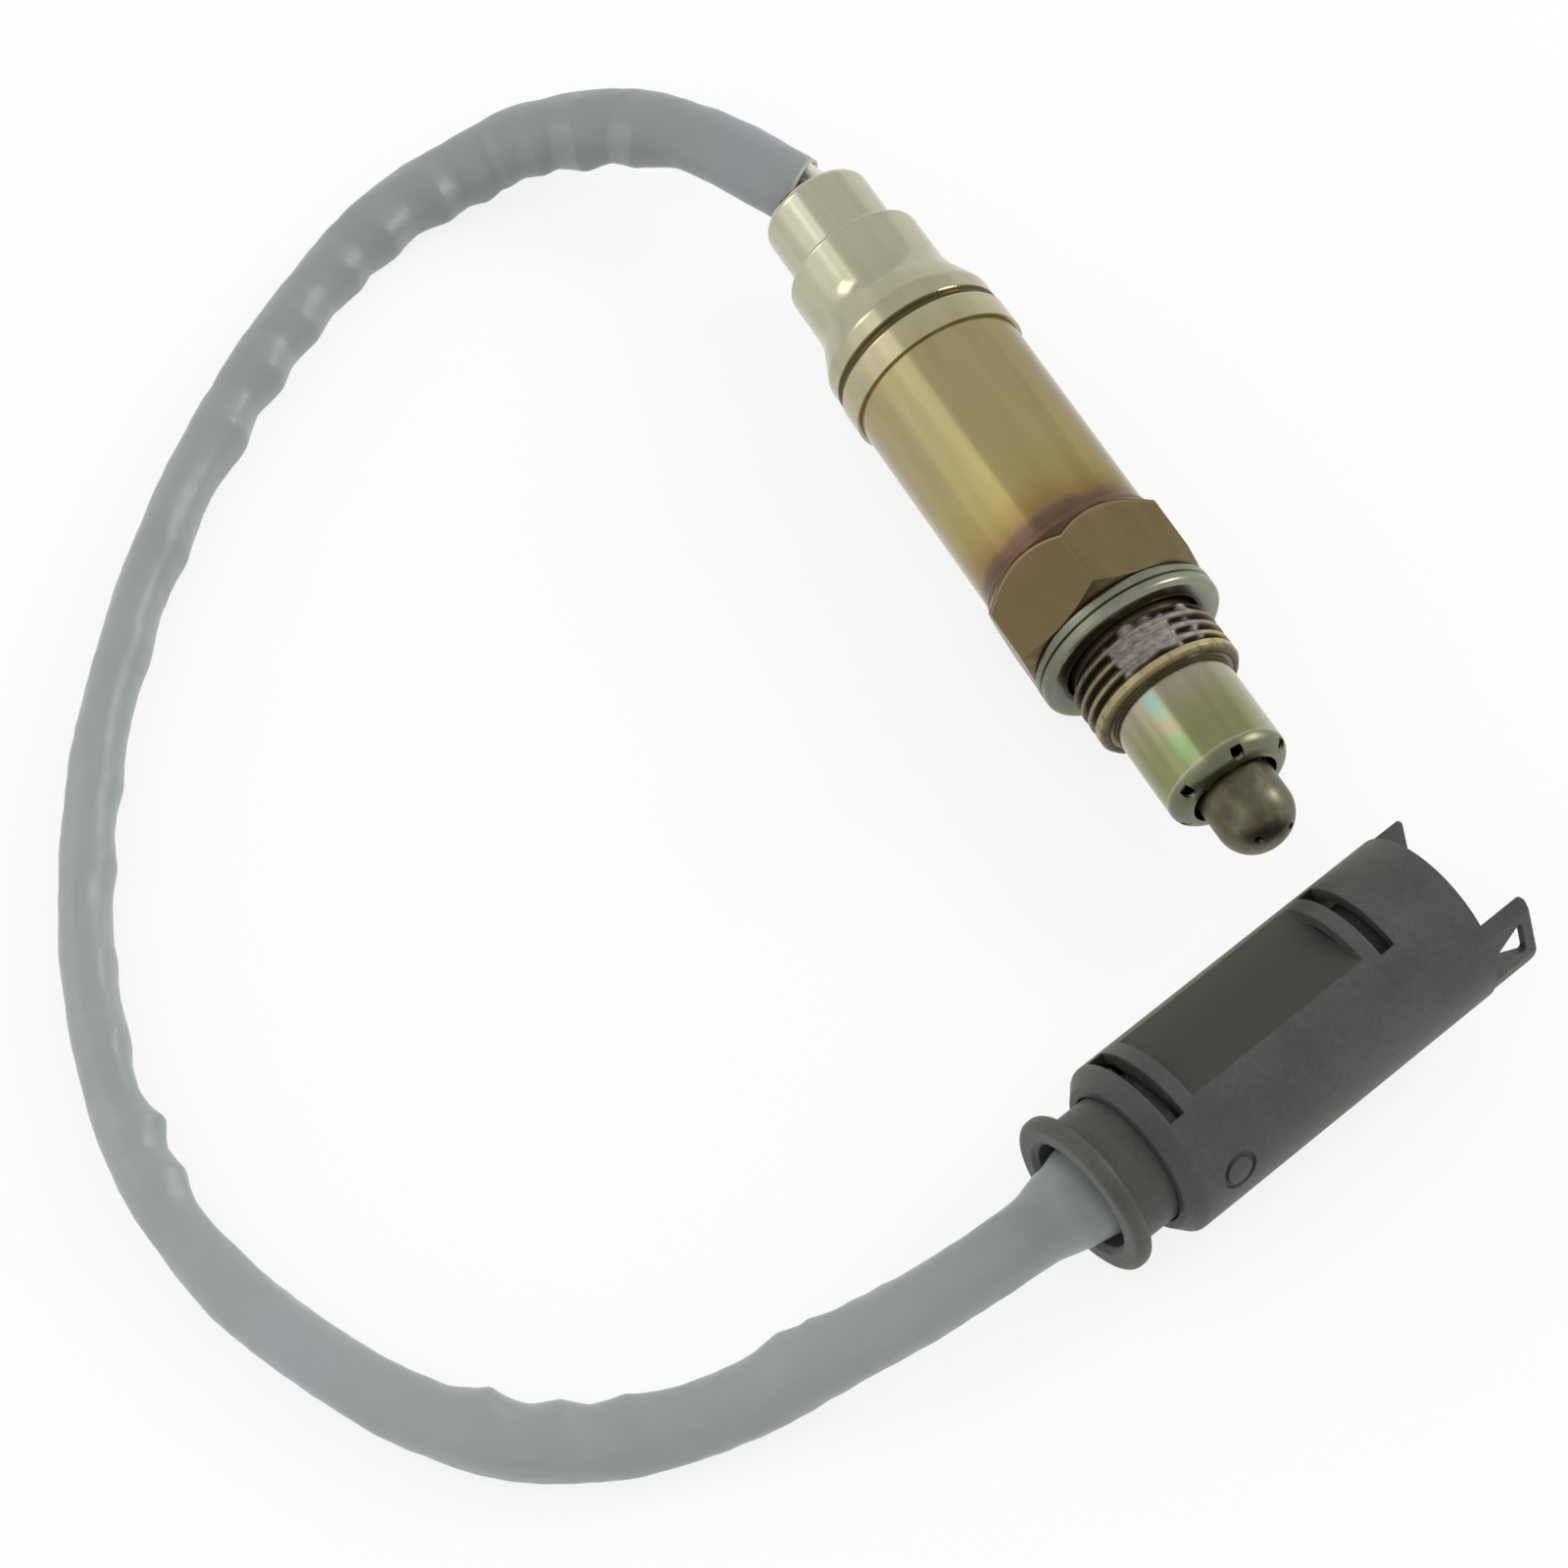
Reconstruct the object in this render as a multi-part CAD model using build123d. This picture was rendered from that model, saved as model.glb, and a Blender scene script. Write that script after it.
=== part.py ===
from build123d import *
import os
from math import cos, radians, sin, tan

# A heated oxygen sensor with a four-wire lead and a squeeze-release connector.
#
# The sensor lies along +X with its tip ahead, and the lead and the connector lie on the same
# floor, z = 0. Pieces of the sensor are turned about its axis from outlines of (station, radius)
# points: stations run along the axis from the front face of the seal ring, plus toward the tip.
# Pieces of the connector use the same scheme from the rear face of its flange, plus toward its
# mouth. All lengths are in millimetres, all angles in degrees.

FIT = 0.05                    # clearance on each side between pieces that nest
EDGE_ROUND = 0.3              # on edges that carry no size of their own

# Seal ring, hexagon and threaded shank
SEAL_RADIUS = 11.3
SEAL_THICKNESS = 3.0
SEAL_ROUND = 0.7
SEAL_BORE_ROUND = 0.8         # folded edge of its bore, wider than the thread's crests at its face
SEAL_FOLD = 0.35              # depth of the fold line round the seal's rim
HEX_FLATS = 22.0              # across flats
HEX_LENGTH = 9.7
HEX_BEVEL_ANGLE = 28.0
HEX_ROLL = -12.5              # from one flat straight down, as the stiff lead holds it
BEAD_LENGTH = 1.0             # weld bead between the hexagon and the sleeve
BEAD_HEIGHT = 0.3             # how far the bead stands above the sleeve
THREAD_RADIUS = 9.0           # M18: the crests of the thread, which is left plain here
THREAD_LENGTH = 7.6
THREAD_BEVEL = 0.7
NECK_DEPTH = 0.8              # undercut in which the seal ring is held
NECK_RUNOUT = 0.7             # how far the undercut runs past the seal
SHANK_WALL = 1.1              # beside the flanges of the protection tubes
LIP_LENGTH = 0.8              # rolled over the flanges

# Protection tubes
TUBE_WALL = 0.4
FLANGE_WIDTH = 0.45
OUTER_TUBE_END = 20.4
OUTER_TUBE_ROUND = 1.7
INNER_TUBE_RADIUS = 4.6
TUBE_GAP = 0.7                # between the inner tube and the outer tube's opening
REACH = 28.2                  # seal face to tip
GAS_HOLE_RADIUS = 0.75
GAS_HOLES = 6
DOME_HOLE_RADIUS = 0.45
DOME_HOLES = 3
DOME_HOLE_SPREAD = 2.4        # distance of the dome's holes from the axis

# Sensing element, heater and the pieces that hold them
ELEMENT_TIP_RADIUS = 2.6
ELEMENT_ROOT_RADIUS = 3.6
ELEMENT_REAR_RADIUS = 4.3
ELEMENT_TIP_CLEARANCE = 2.6   # inside the inner tube's dome
ELEMENT_REAR = 13.0           # behind the seal's face
ELEMENT_COLLAR_REAR = 4.0
COLLAR_CLEARANCE = 0.3
SEAT_START = 0.5              # station at which the conical seat begins
SEAT_CLEARANCE = 1.0          # between the element and the bore ahead of the seat
SEAT_WASHER = 0.4
HEATER_RADIUS = 1.35
HEATER_CLEARANCE = 0.25
HEATER_REAR = 26.0
PACKING_REAR = 6.3
BUSH_STEP = 1.6               # rear bore over collar bore
BUSH_REAR = 15.6
BUSH_CLEARANCE = 0.1
SPRING_HEIGHT = 1.0
SPRING_THICKNESS = 0.5
SPRING_WIDTH = 2.6
SPIGOT_WALL = 1.75
SPIGOT_LIP = 0.8
SPIGOT_LIP_WIDTH = 1.0

# Contacts and terminal insulator
WIRE_CIRCLE = 2.6             # radius on which wires, contacts and pins lie
BLADE_THICKNESS = 0.4
BLADE_WIDTH = 1.6
BARREL_RADIUS = 1.3
BARREL_BORE = 0.65
BARREL_LENGTH = 4.6
BARREL_CLOSED = 1.0           # solid end of the barrel, ahead of its bore
BARREL_RECESS = 1.4           # barrels inside the insulator's rear face
INSULATOR_CLEARANCE = 0.3
INSULATOR_CAVITY_RADIUS = 4.8
INSULATOR_CAVITY_DEPTH = 13.0
INSULATOR_OVERRUN = 1.0       # insulator past the crimped groove
INSULATOR_ROUND = 1.2
TERMINAL_BORE_CLEARANCE = 0.2

# Sleeves
SLEEVE_RADIUS = 10.5
SLEEVE_WALL = 0.4
SLEEVE_LENGTH = 30.9
COLLAR_OVERLAP = 3.1          # crimp sleeve over protective sleeve
CAP_WALL = 0.4
GROOVE_SETBACK = 0.35         # behind the protective sleeve's end
GROOVE_WIDTH = 1.2
GROOVE_DEPTH = 0.5
BAND_LENGTH = 2.2
BAND_DROP = 0.2               # band behind the groove, below the collar
FLARE_LENGTH = 5.0
WAIST_RADIUS = 8.55
WAIST_LENGTH = 7.4
STEP_LENGTH = 0.8
TAIL_RADIUS = 6.7
TAIL_LENGTH = 8.6
TAIL_OPENING = 5.2
TAIL_ROUND = 1.1
GROOVE_ROUND = 0.3
FLARE_ROUND = 1.5
WAIST_ROUND = 8.0
STEP_ROUND = 0.5
GROMMET_SETBACK = 0.4         # grommet's front behind the flare
GROMMET_ROUND = 1.5

# Wires and sheath
WIRE_RADIUS = 0.95
CORE_RADIUS = 0.6
SHEATH_RADIUS = 3.7
WIRE_LEAD = 2.4               # from the bend of the wires to the end of the sheath

# Connector: stations from the rear face of the flange
FLANGE_POINT = (73.7, -40.2)  # centre of that face on the floor plan
HEADING = 100.5               # of the connector's axis, from +X
ROLL = -21.4                  # of the squeeze flats, from straight up
SHELL_RADIUS = 10.5
SHELL_WALL = 1.5
SHELL_REAR = 7.0
SHELL_LENGTH = 43.6
SHELL_BEVEL = 1.6
SHELL_LIP = 1.6               # thickness of the shell's rear wall
FLAT_START = 6.2              # squeeze flat, from the shell's rear
FLAT_LENGTH = 24.2
FLAT_DEPTH = 1.74
FLAT_WALL = 1.2
SLOT_WIDTH = 2.0
SLOT_RIB = 1.9                # between each slot and the squeeze flat
SLOT_REACH = 6.5              # half the width that a slot spans
EAR_LENGTH = 6.0
EAR_WIDTH = 9.6
EAR_ROUND = 0.8
EAR_DROP = 0.5                # outside of an ear, below the shell
WINDOW_WIDTH = 4.6
WINDOW_LENGTH = 4.4
WINDOW_FRAME = 1.3
WINDOW_ROUND = 0.4
MARK_RADIUS = 2.2             # round moulding mark
MARK_WIDTH = 0.6
MARK_DEPTH = 0.4
MARK_STATION = 6.6
FLANGE_RIM = 1.75             # flange over neck
FLANGE_THICKNESS = 2.2
FLANGE_ROUND = 0.9
NECK_STEP = 2.75              # shell over neck
NECK_WALL = 1.15
REAR_POCKET_DEPTH = 11.0
POCKET_BEVEL = 0.6
KEY_COLLAR_LENGTH = 2.2
CARRIER_CLEARANCE = 0.26      # under the squeeze flats
CARRIER_FLOOR = 24.0
SHROUD_WALL = 1.0
SHROUD_END = 46.0
KEY_RIB_WIDTH = 1.4
KEY_RIB_HEIGHT = 0.8
KEY_RIB_SETBACK = 2.0         # inside the shroud's end
WIRE_SEAL_REAR = 5.6
SEAL_GROOVE_DEPTH = 0.5       # between the sealing lips
PIN_SETBACK = 1.0             # contact pins ahead of the wire seal's pocket
PIN_RADIUS = 1.1
PIN_COLLAR_RADIUS = 1.6
PIN_COLLAR_LENGTH = 1.2
PIN_LENGTH = 13.0             # ahead of the carrier's floor
CONTACT_BORE_CLEARANCE = 0.15
FLOOR_THICKNESS = 2.2

# Route of the lead's centreline, from the sensor to the connector. It leaves the wires' bend,
# comes down to the floor, runs round the loop and rises to the connector's axis.
ROUTE = [
    (-53.4, -0.9, 12.0),
    (-62.5, -4.6, 11.6),
    (-71.6, -10.6, 9.7),
    (-78.0, -19.6, 7.0),
    (-80.7, -30.7, 4.6),
    (-78.8, -43.4, 3.8),
    (-71.3, -58.2, 3.75),
    (-61.6, -73.0, 3.75),
    (-48.9, -87.7, 3.75),
    (-32.9, -101.4, 3.75),
    (-15.0, -112.5, 3.75),
    (3.8, -119.8, 3.75),
    (22.4, -122.6, 3.75),
    (40.0, -118.7, 3.75),
    (55.2, -111.4, 3.75),
    (65.2, -103.4, 3.75),
    (71.2, -92.4, 3.8),
    (73.6, -79.4, 4.7),
    (74.8, -66.2, 7.0),
    (75.2, -54.4, 9.6),
    (74.4, -44.1, 10.5),
    (72.7, -34.8, 10.5),
]

# Stations of the sensor that follow from the sizes above
HEX_FRONT = -SEAL_THICKNESS
HEX_REAR = HEX_FRONT - HEX_LENGTH
SLEEVE_FRONT = HEX_REAR - BEAD_LENGTH
SLEEVE_REAR = SLEEVE_FRONT - SLEEVE_LENGTH
GROOVE_FRONT = SLEEVE_REAR - GROOVE_SETBACK
GROOVE_REAR = GROOVE_FRONT - GROOVE_WIDTH
BAND_REAR = GROOVE_REAR - BAND_LENGTH
WAIST_FRONT = BAND_REAR - FLARE_LENGTH
WAIST_REAR = WAIST_FRONT - WAIST_LENGTH
TAIL_FRONT = WAIST_REAR - STEP_LENGTH
TAIL_REAR = TAIL_FRONT - TAIL_LENGTH

SPIGOT_RADIUS = SLEEVE_RADIUS - SLEEVE_WALL - FIT
REAR_BORE = SPIGOT_RADIUS - SPIGOT_WALL
COLLAR_BORE = REAR_BORE - BUSH_STEP
NOSE_BORE = ELEMENT_ROOT_RADIUS + SEAT_CLEARANCE
SEAT_END = SEAT_START + COLLAR_BORE - NOSE_BORE
SPRING_REAR = -BUSH_REAR - SPRING_HEIGHT
SPIGOT_REAR = SPRING_REAR - FIT - SPIGOT_LIP

FLANGE_POCKET = THREAD_RADIUS - SHANK_WALL
OUTER_TUBE_RADIUS = FLANGE_POCKET - FIT - FLANGE_WIDTH
POCKET_FRONT = THREAD_LENGTH - LIP_LENGTH
OUTER_FLANGE_REAR = POCKET_FRONT - TUBE_WALL
INNER_FLANGE_REAR = OUTER_FLANGE_REAR - TUBE_WALL

INSULATOR_FRONT = SPIGOT_REAR - BLADE_THICKNESS - FIT
INSULATOR_REAR = GROOVE_REAR - INSULATOR_OVERRUN
BARREL_FRONT = INSULATOR_REAR + BARREL_RECESS
BARREL_REAR = BARREL_FRONT - BARREL_LENGTH
GROMMET_FRONT = WAIST_FRONT - GROMMET_SETBACK

NECK_RADIUS = SHELL_RADIUS - NECK_STEP
FLANGE_RADIUS = NECK_RADIUS + FLANGE_RIM
REAR_POCKET_RADIUS = NECK_RADIUS - NECK_WALL
FLAT_HEIGHT = SHELL_RADIUS - FLAT_DEPTH
CARRIER_RADIUS = FLAT_HEIGHT - FLAT_WALL - CARRIER_CLEARANCE

# The sensor's box without the lead is centred on x = 0, and its hexagon lies on the floor.
SEAT_X = (-TAIL_REAR - REACH) / 2
HEX_CORNER = HEX_FLATS / 2 / cos(radians(30))
AXIS_HEIGHT = max(HEX_CORNER * cos(radians(30 - abs(HEX_ROLL))), SEAL_RADIUS)
SENSOR_PLACE = Location((SEAT_X, 0, AXIS_HEIGHT))
CONNECTOR_PLACE = Location((*FLANGE_POINT, SHELL_RADIUS), (0, 0, HEADING)) * Rot(ROLL, 0, 0)
QUARTERS = [45, 135, 225, 315]


def turned(*points):
    """A piece turned about the X axis from (station, radius, rounding) corners."""
    corners = [point[:2] for point in points]
    rounds = [point[2] if len(point) == 3 else 0 for point in points]
    return revolve(make_face(FilletPolyline(*corners, radius=rounds, close=True)), Axis.X)


def pressed(wall, *points):
    """A piece pressed from sheet: the middle of its wall runs through the corners."""
    corners = [point[:2] for point in points]
    rounds = [point[2] if len(point) == 3 else 0 for point in points[1:-1]]
    return revolve(trace(FilletPolyline(*corners, radius=rounds), wall), Axis.X)


def bar(start, end, radius):
    """A round bar along X between two stations."""
    return turned((start, 0), (end, 0), (end, radius), (start, radius))


def block(start, end, low_y, high_y, low_z, high_z):
    """A box given by its limits."""
    size = (end - start, high_y - low_y, high_z - low_z)
    centre = ((start + end) / 2, (low_y + high_y) / 2, (low_z + high_z) / 2)
    return Pos(*centre) * Box(*size)


def around(shape, angles):
    """Copies of a shape turned about the X axis."""
    return [Rot(angle, 0, 0) * shape for angle in angles]


def wire_bores(start, end, radius):
    """Four bores along X on the wire circle."""
    bore = Pos(0, WIRE_CIRCLE, 0) * bar(start, end, radius)
    return around(bore, QUARTERS)


def in_connector(shape, angle=0):
    """A connector piece, turned about the connector's axis and set in place."""
    return CONNECTOR_PLACE * Rot(angle, 0, 0) * shape


def in_sensor(shape, angle=0):
    """A sensor piece, turned about the sensor's axis and set in place."""
    return SENSOR_PLACE * Rot(angle, 0, 0) * shape


def sensor_housing():
    """Hexagon, shank and spigot in one turned piece with a stepped bore."""
    flat = HEX_FLATS / 2
    bevel = (HEX_CORNER - flat) * tan(radians(HEX_BEVEL_ANGLE))
    hexagon = extrude(Plane.YZ.offset(HEX_REAR) * RegularPolygon(flat, 6, major_radius=False),
                      HEX_LENGTH)
    crown = turned((HEX_REAR, 0), (HEX_REAR, flat), (HEX_REAR + bevel, HEX_CORNER),
                   (HEX_FRONT - bevel, HEX_CORNER), (HEX_FRONT, flat), (HEX_FRONT, 0))
    neck = THREAD_RADIUS - NECK_DEPTH
    bevel_thread = min(THREAD_BEVEL, 0.7 * SHANK_WALL)
    shank = turned((HEX_FRONT, 0), (HEX_FRONT, neck), (NECK_RUNOUT, neck),
                   (NECK_RUNOUT + NECK_DEPTH, THREAD_RADIUS),
                   (THREAD_LENGTH - bevel_thread, THREAD_RADIUS),
                   (THREAD_LENGTH, THREAD_RADIUS - bevel_thread), (THREAD_LENGTH, 0))
    bead = turned((HEX_REAR, 0), (HEX_REAR, SLEEVE_RADIUS + BEAD_HEIGHT),
                  (SLEEVE_FRONT, SLEEVE_RADIUS + BEAD_HEIGHT, EDGE_ROUND), (SLEEVE_FRONT, 0))
    spigot = bar(SPIGOT_REAR, HEX_REAR, SPIGOT_RADIUS)
    lip_bore = REAR_BORE - SPIGOT_LIP_WIDTH
    step = COLLAR_CLEARANCE - PACKING_REAR
    bore = turned((SPIGOT_REAR, 0), (SPIGOT_REAR, lip_bore), (SPIGOT_REAR + SPIGOT_LIP, lip_bore),
                  (SPIGOT_REAR + SPIGOT_LIP, REAR_BORE), (step, REAR_BORE),
                  (step, COLLAR_BORE), (SEAT_START, COLLAR_BORE),
                  (SEAT_END, NOSE_BORE), (INNER_FLANGE_REAR, NOSE_BORE),
                  (INNER_FLANGE_REAR, FLANGE_POCKET), (POCKET_FRONT, FLANGE_POCKET),
                  (POCKET_FRONT, OUTER_TUBE_RADIUS + FIT), (THREAD_LENGTH, OUTER_TUBE_RADIUS + FIT),
                  (THREAD_LENGTH, 0))
    return Rot(HEX_ROLL, 0, 0) * (hexagon & crown) + shank + bead + spigot - bore


def seal_ring():
    """Captive seal ring, folded from sheet, with the fold line round its rim."""
    inside = THREAD_RADIUS - NECK_DEPTH + 3 * FIT
    middle = -SEAL_THICKNESS / 2
    ring = turned((-SEAL_THICKNESS, inside, SEAL_BORE_ROUND),
                  (-SEAL_THICKNESS, SEAL_RADIUS, SEAL_ROUND), (0, SEAL_RADIUS, SEAL_ROUND),
                  (0, inside, SEAL_BORE_ROUND))
    fold = turned((middle - SEAL_FOLD / 2, SEAL_RADIUS), (middle, SEAL_RADIUS - SEAL_FOLD),
                  (middle + SEAL_FOLD / 2, SEAL_RADIUS))
    return ring - fold


def outer_protection_tube():
    """Outer tube, flanged behind and drawn in to a round shoulder with gas holes in front."""
    middle = OUTER_TUBE_RADIUS - TUBE_WALL / 2
    end = OUTER_TUBE_END - TUBE_WALL / 2
    flange = (OUTER_FLANGE_REAR + TUBE_WALL / 2, FLANGE_POCKET - FIT)
    tube = pressed(TUBE_WALL, flange, (flange[0], middle), (end, middle, OUTER_TUBE_ROUND),
                   (end, INNER_TUBE_RADIUS + TUBE_GAP))
    reach = OUTER_TUBE_ROUND * (1 - cos(radians(45)))
    hole = Pos(OUTER_TUBE_END - reach, OUTER_TUBE_RADIUS - reach, 0) * Rot(0, 90, 45) \
        * Cylinder(GAS_HOLE_RADIUS, 4 * TUBE_WALL)
    return tube - around(hole, [30 + 360 / GAS_HOLES * turn for turn in range(GAS_HOLES)])


def inner_protection_tube():
    """Inner tube, flanged behind and closed by a blunt dome with small holes."""
    middle = INNER_TUBE_RADIUS - TUBE_WALL / 2
    end = REACH - TUBE_WALL / 2
    flange = (INNER_FLANGE_REAR + TUBE_WALL / 2, FLANGE_POCKET - FIT)
    tube = pressed(TUBE_WALL, flange, (flange[0], middle), (end, middle, 0.9 * middle), (end, 0))
    hole = Pos(REACH, DOME_HOLE_SPREAD, 0) * Rot(0, 90, 0) \
        * Cylinder(DOME_HOLE_RADIUS, INNER_TUBE_RADIUS)
    return tube - around(hole, [20 + 360 / DOME_HOLES * turn for turn in range(DOME_HOLES)])


def element_cone(offset):
    """Stations at which the element's cone starts and ends, set back from the seat."""
    start = SEAT_START - offset + COLLAR_CLEARANCE
    rise = COLLAR_BORE - COLLAR_CLEARANCE - ELEMENT_ROOT_RADIUS
    return start, start + rise


def sensing_element():
    """Ceramic thimble, closed at the tip, with a collar that seats in the housing."""
    cone_start, cone_end = element_cone(SEAT_WASHER * 2 ** 0.5)
    tip = REACH - TUBE_WALL - ELEMENT_TIP_CLEARANCE
    collar = COLLAR_BORE - COLLAR_CLEARANCE
    bore = HEATER_RADIUS + HEATER_CLEARANCE
    wall = ELEMENT_TIP_RADIUS - bore
    return turned((-ELEMENT_REAR, bore), (-ELEMENT_REAR, ELEMENT_REAR_RADIUS, EDGE_ROUND),
                  (-ELEMENT_COLLAR_REAR, ELEMENT_REAR_RADIUS),
                  (-ELEMENT_COLLAR_REAR, collar, EDGE_ROUND),
                  (cone_start, collar), (cone_end, ELEMENT_ROOT_RADIUS),
                  (tip, ELEMENT_TIP_RADIUS, 0.8 * ELEMENT_TIP_RADIUS), (tip, 0), (tip - wall, 0),
                  (tip - wall, bore, 0.8 * bore))


def heater_rod():
    """Ceramic rod heater inside the thimble."""
    wall = ELEMENT_TIP_RADIUS - HEATER_RADIUS - HEATER_CLEARANCE
    tip = REACH - TUBE_WALL - ELEMENT_TIP_CLEARANCE - wall - 2 * HEATER_CLEARANCE
    return turned((-HEATER_REAR, 0), (-HEATER_REAR, HEATER_RADIUS),
                  (tip, HEATER_RADIUS, 0.8 * HEATER_RADIUS), (tip, 0))


def element_seal():
    """Thin conical washer between the element's collar and its seat."""
    back = SEAT_WASHER * 2 ** 0.5
    rise = COLLAR_BORE - NOSE_BORE - COLLAR_CLEARANCE - FIT
    front = SEAT_START + COLLAR_CLEARANCE
    top = COLLAR_BORE - COLLAR_CLEARANCE
    return turned((front - back, top), (front - FIT, top), (front - FIT + rise, top - rise),
                  (front - back + rise, top - rise))


def powder_packing():
    """Pressed powder ring behind the element's collar."""
    inside = ELEMENT_REAR_RADIUS + FIT
    outside = COLLAR_BORE - FIT
    return turned((-PACKING_REAR, inside), (-PACKING_REAR, outside),
                  (-ELEMENT_COLLAR_REAR, outside), (-ELEMENT_COLLAR_REAR, inside))


def support_bush():
    """Ceramic bush that presses on the packing."""
    inside = ELEMENT_REAR_RADIUS + 4 * BUSH_CLEARANCE
    outside = REAR_BORE - BUSH_CLEARANCE
    return turned((-BUSH_REAR, inside, EDGE_ROUND), (-BUSH_REAR, outside, EDGE_ROUND),
                  (-PACKING_REAR, outside, EDGE_ROUND), (-PACKING_REAR, inside, EDGE_ROUND))


def disc_spring():
    """Coned disc spring between the bush and the housing's rolled lip."""
    outside = REAR_BORE - BUSH_CLEARANCE
    inside = outside - SPRING_WIDTH
    front = SPRING_REAR + SPRING_HEIGHT
    return turned((SPRING_REAR, outside), (SPRING_REAR + SPRING_THICKNESS, outside), (front, inside),
                  (front - SPRING_THICKNESS, inside))


def blade(rear, front, low_y, high_y):
    """A strip as wide as a contact's blade."""
    return block(rear, front, low_y, high_y, -BLADE_WIDTH / 2, BLADE_WIDTH / 2)


def contact(front):
    """Crimp barrel with a blade running forward to a station, on the wire circle at +Y."""
    barrel = bar(BARREL_REAR, BARREL_FRONT, BARREL_RADIUS) \
        - bar(BARREL_REAR, BARREL_FRONT - BARREL_CLOSED, BARREL_BORE)
    half = BLADE_THICKNESS / 2
    return Pos(0, WIRE_CIRCLE, 0) * (barrel + blade(BARREL_FRONT - FIT, front, -half, half))


def signal_contact():
    """Contact that ends in a ring on the element's rear rim."""
    front = -ELEMENT_REAR
    rear = front - BLADE_THICKNESS
    outside = ELEMENT_REAR_RADIUS - FIT
    inside = HEATER_RADIUS + HEATER_CLEARANCE
    return contact(rear) + bar(rear, front, outside) - bar(rear, front, inside)


def ground_contact():
    """Contact that ends in a ring on the rear of the housing."""
    rear = SPIGOT_REAR - BLADE_THICKNESS
    ring = bar(rear, SPIGOT_REAR, SPIGOT_RADIUS) \
        - bar(rear, SPIGOT_REAR, REAR_BORE - SPIGOT_LIP_WIDTH)
    arm = blade(rear, SPIGOT_REAR, WIRE_CIRCLE - BLADE_THICKNESS / 2, REAR_BORE)
    return contact(rear) + ring + arm


def heater_contact():
    """Contact that bears on the side of the heater rod."""
    front = -HEATER_REAR + BLADE_WIDTH
    foot = blade(front - BLADE_WIDTH / 2, front, HEATER_RADIUS + FIT, WIRE_CIRCLE)
    return contact(front) + foot


def terminal_insulator():
    """Ceramic block with four terminal bores and a chamber for the element's rear."""
    radius = SLEEVE_RADIUS - SLEEVE_WALL - INSULATOR_CLEARANCE
    chamber = INSULATOR_FRONT - INSULATOR_CAVITY_DEPTH
    body = turned((INSULATOR_REAR, 0), (INSULATOR_REAR, radius, INSULATOR_ROUND),
                  (INSULATOR_FRONT, radius, EDGE_ROUND), (INSULATOR_FRONT, INSULATOR_CAVITY_RADIUS),
                  (chamber, INSULATOR_CAVITY_RADIUS), (chamber, 0))
    return body - wire_bores(INSULATOR_REAR, chamber, BARREL_RADIUS + TERMINAL_BORE_CLEARANCE)


def protective_sleeve():
    """Straight steel sleeve from the weld bead to the crimp sleeve."""
    return bar(SLEEVE_REAR, SLEEVE_FRONT, SLEEVE_RADIUS) \
        - bar(SLEEVE_REAR, SLEEVE_FRONT, SLEEVE_RADIUS - SLEEVE_WALL)


def crimp_sleeve():
    """Stepped rear sleeve: collar, crimped groove, flare, waist and rolled tail."""
    half = CAP_WALL / 2
    skirt = SLEEVE_RADIUS + FIT + half
    floor = skirt - GROOVE_DEPTH
    band = skirt - BAND_DROP
    waist = WAIST_RADIUS - half
    tail = TAIL_RADIUS - half
    end = TAIL_REAR + half
    slope = GROOVE_WIDTH / 5
    return pressed(CAP_WALL, (SLEEVE_REAR + COLLAR_OVERLAP, skirt),
                   (GROOVE_FRONT, skirt, GROOVE_ROUND), (GROOVE_FRONT - slope, floor, GROOVE_ROUND),
                   (GROOVE_REAR + slope, floor, GROOVE_ROUND), (GROOVE_REAR, band, GROOVE_ROUND),
                   (BAND_REAR, band, FLARE_ROUND), (WAIST_FRONT, waist, WAIST_ROUND),
                   (WAIST_REAR, waist, STEP_ROUND), (TAIL_FRONT, tail, STEP_ROUND),
                   (end, tail, TAIL_ROUND), (end, TAIL_OPENING))


def cable_grommet():
    """Stepped grommet that fills the waist and the tail, with a bore for each wire."""
    waist = WAIST_RADIUS - CAP_WALL - FIT
    tail = TAIL_RADIUS - CAP_WALL - FIT
    rear = TAIL_REAR + CAP_WALL + FIT
    step = WAIST_REAR + STEP_LENGTH
    body = turned((rear, 0), (rear, tail, TAIL_ROUND), (TAIL_FRONT + STEP_LENGTH / 2, tail),
                  (step, waist, EDGE_ROUND), (GROMMET_FRONT, waist, GROMMET_ROUND), (GROMMET_FRONT, 0))
    return body - wire_bores(rear, GROMMET_FRONT, WIRE_RADIUS + FIT)


def route_radii(points):
    """The largest arcs that two neighbouring runs leave room for at each corner."""
    radii = []
    for before, corner, after in zip(points, points[1:], points[2:]):
        run_in, run_out = corner - before, after - corner
        turn = run_in.get_angle(run_out)
        radii.append(0.45 * min(run_in.length, run_out.length) / tan(radians(turn / 2)))
    return radii


def rounded_path(points):
    """Straight runs through the points, joined by the largest tangent arcs."""
    radii = route_radii(points)
    print("radii along the path:", [round(radius, 1) for radius in radii])
    return FilletPolyline(*points, radius=radii)


def wire_corners(end, after):
    """The wires run straight back from their barrels, bend once and meet the sheath's end squarely."""
    bend = end + (end - after).normalized() * WIRE_LEAD
    return [Vector(SEAT_X + BARREL_REAR, bend.Y, bend.Z), bend, end]


ROUTE_POINTS = [Vector(*point) for point in ROUTE]
SHEATH_PATH = rounded_path(ROUTE_POINTS)
WIRE_PATH = rounded_path(wire_corners(*ROUTE_POINTS[:2]))


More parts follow.
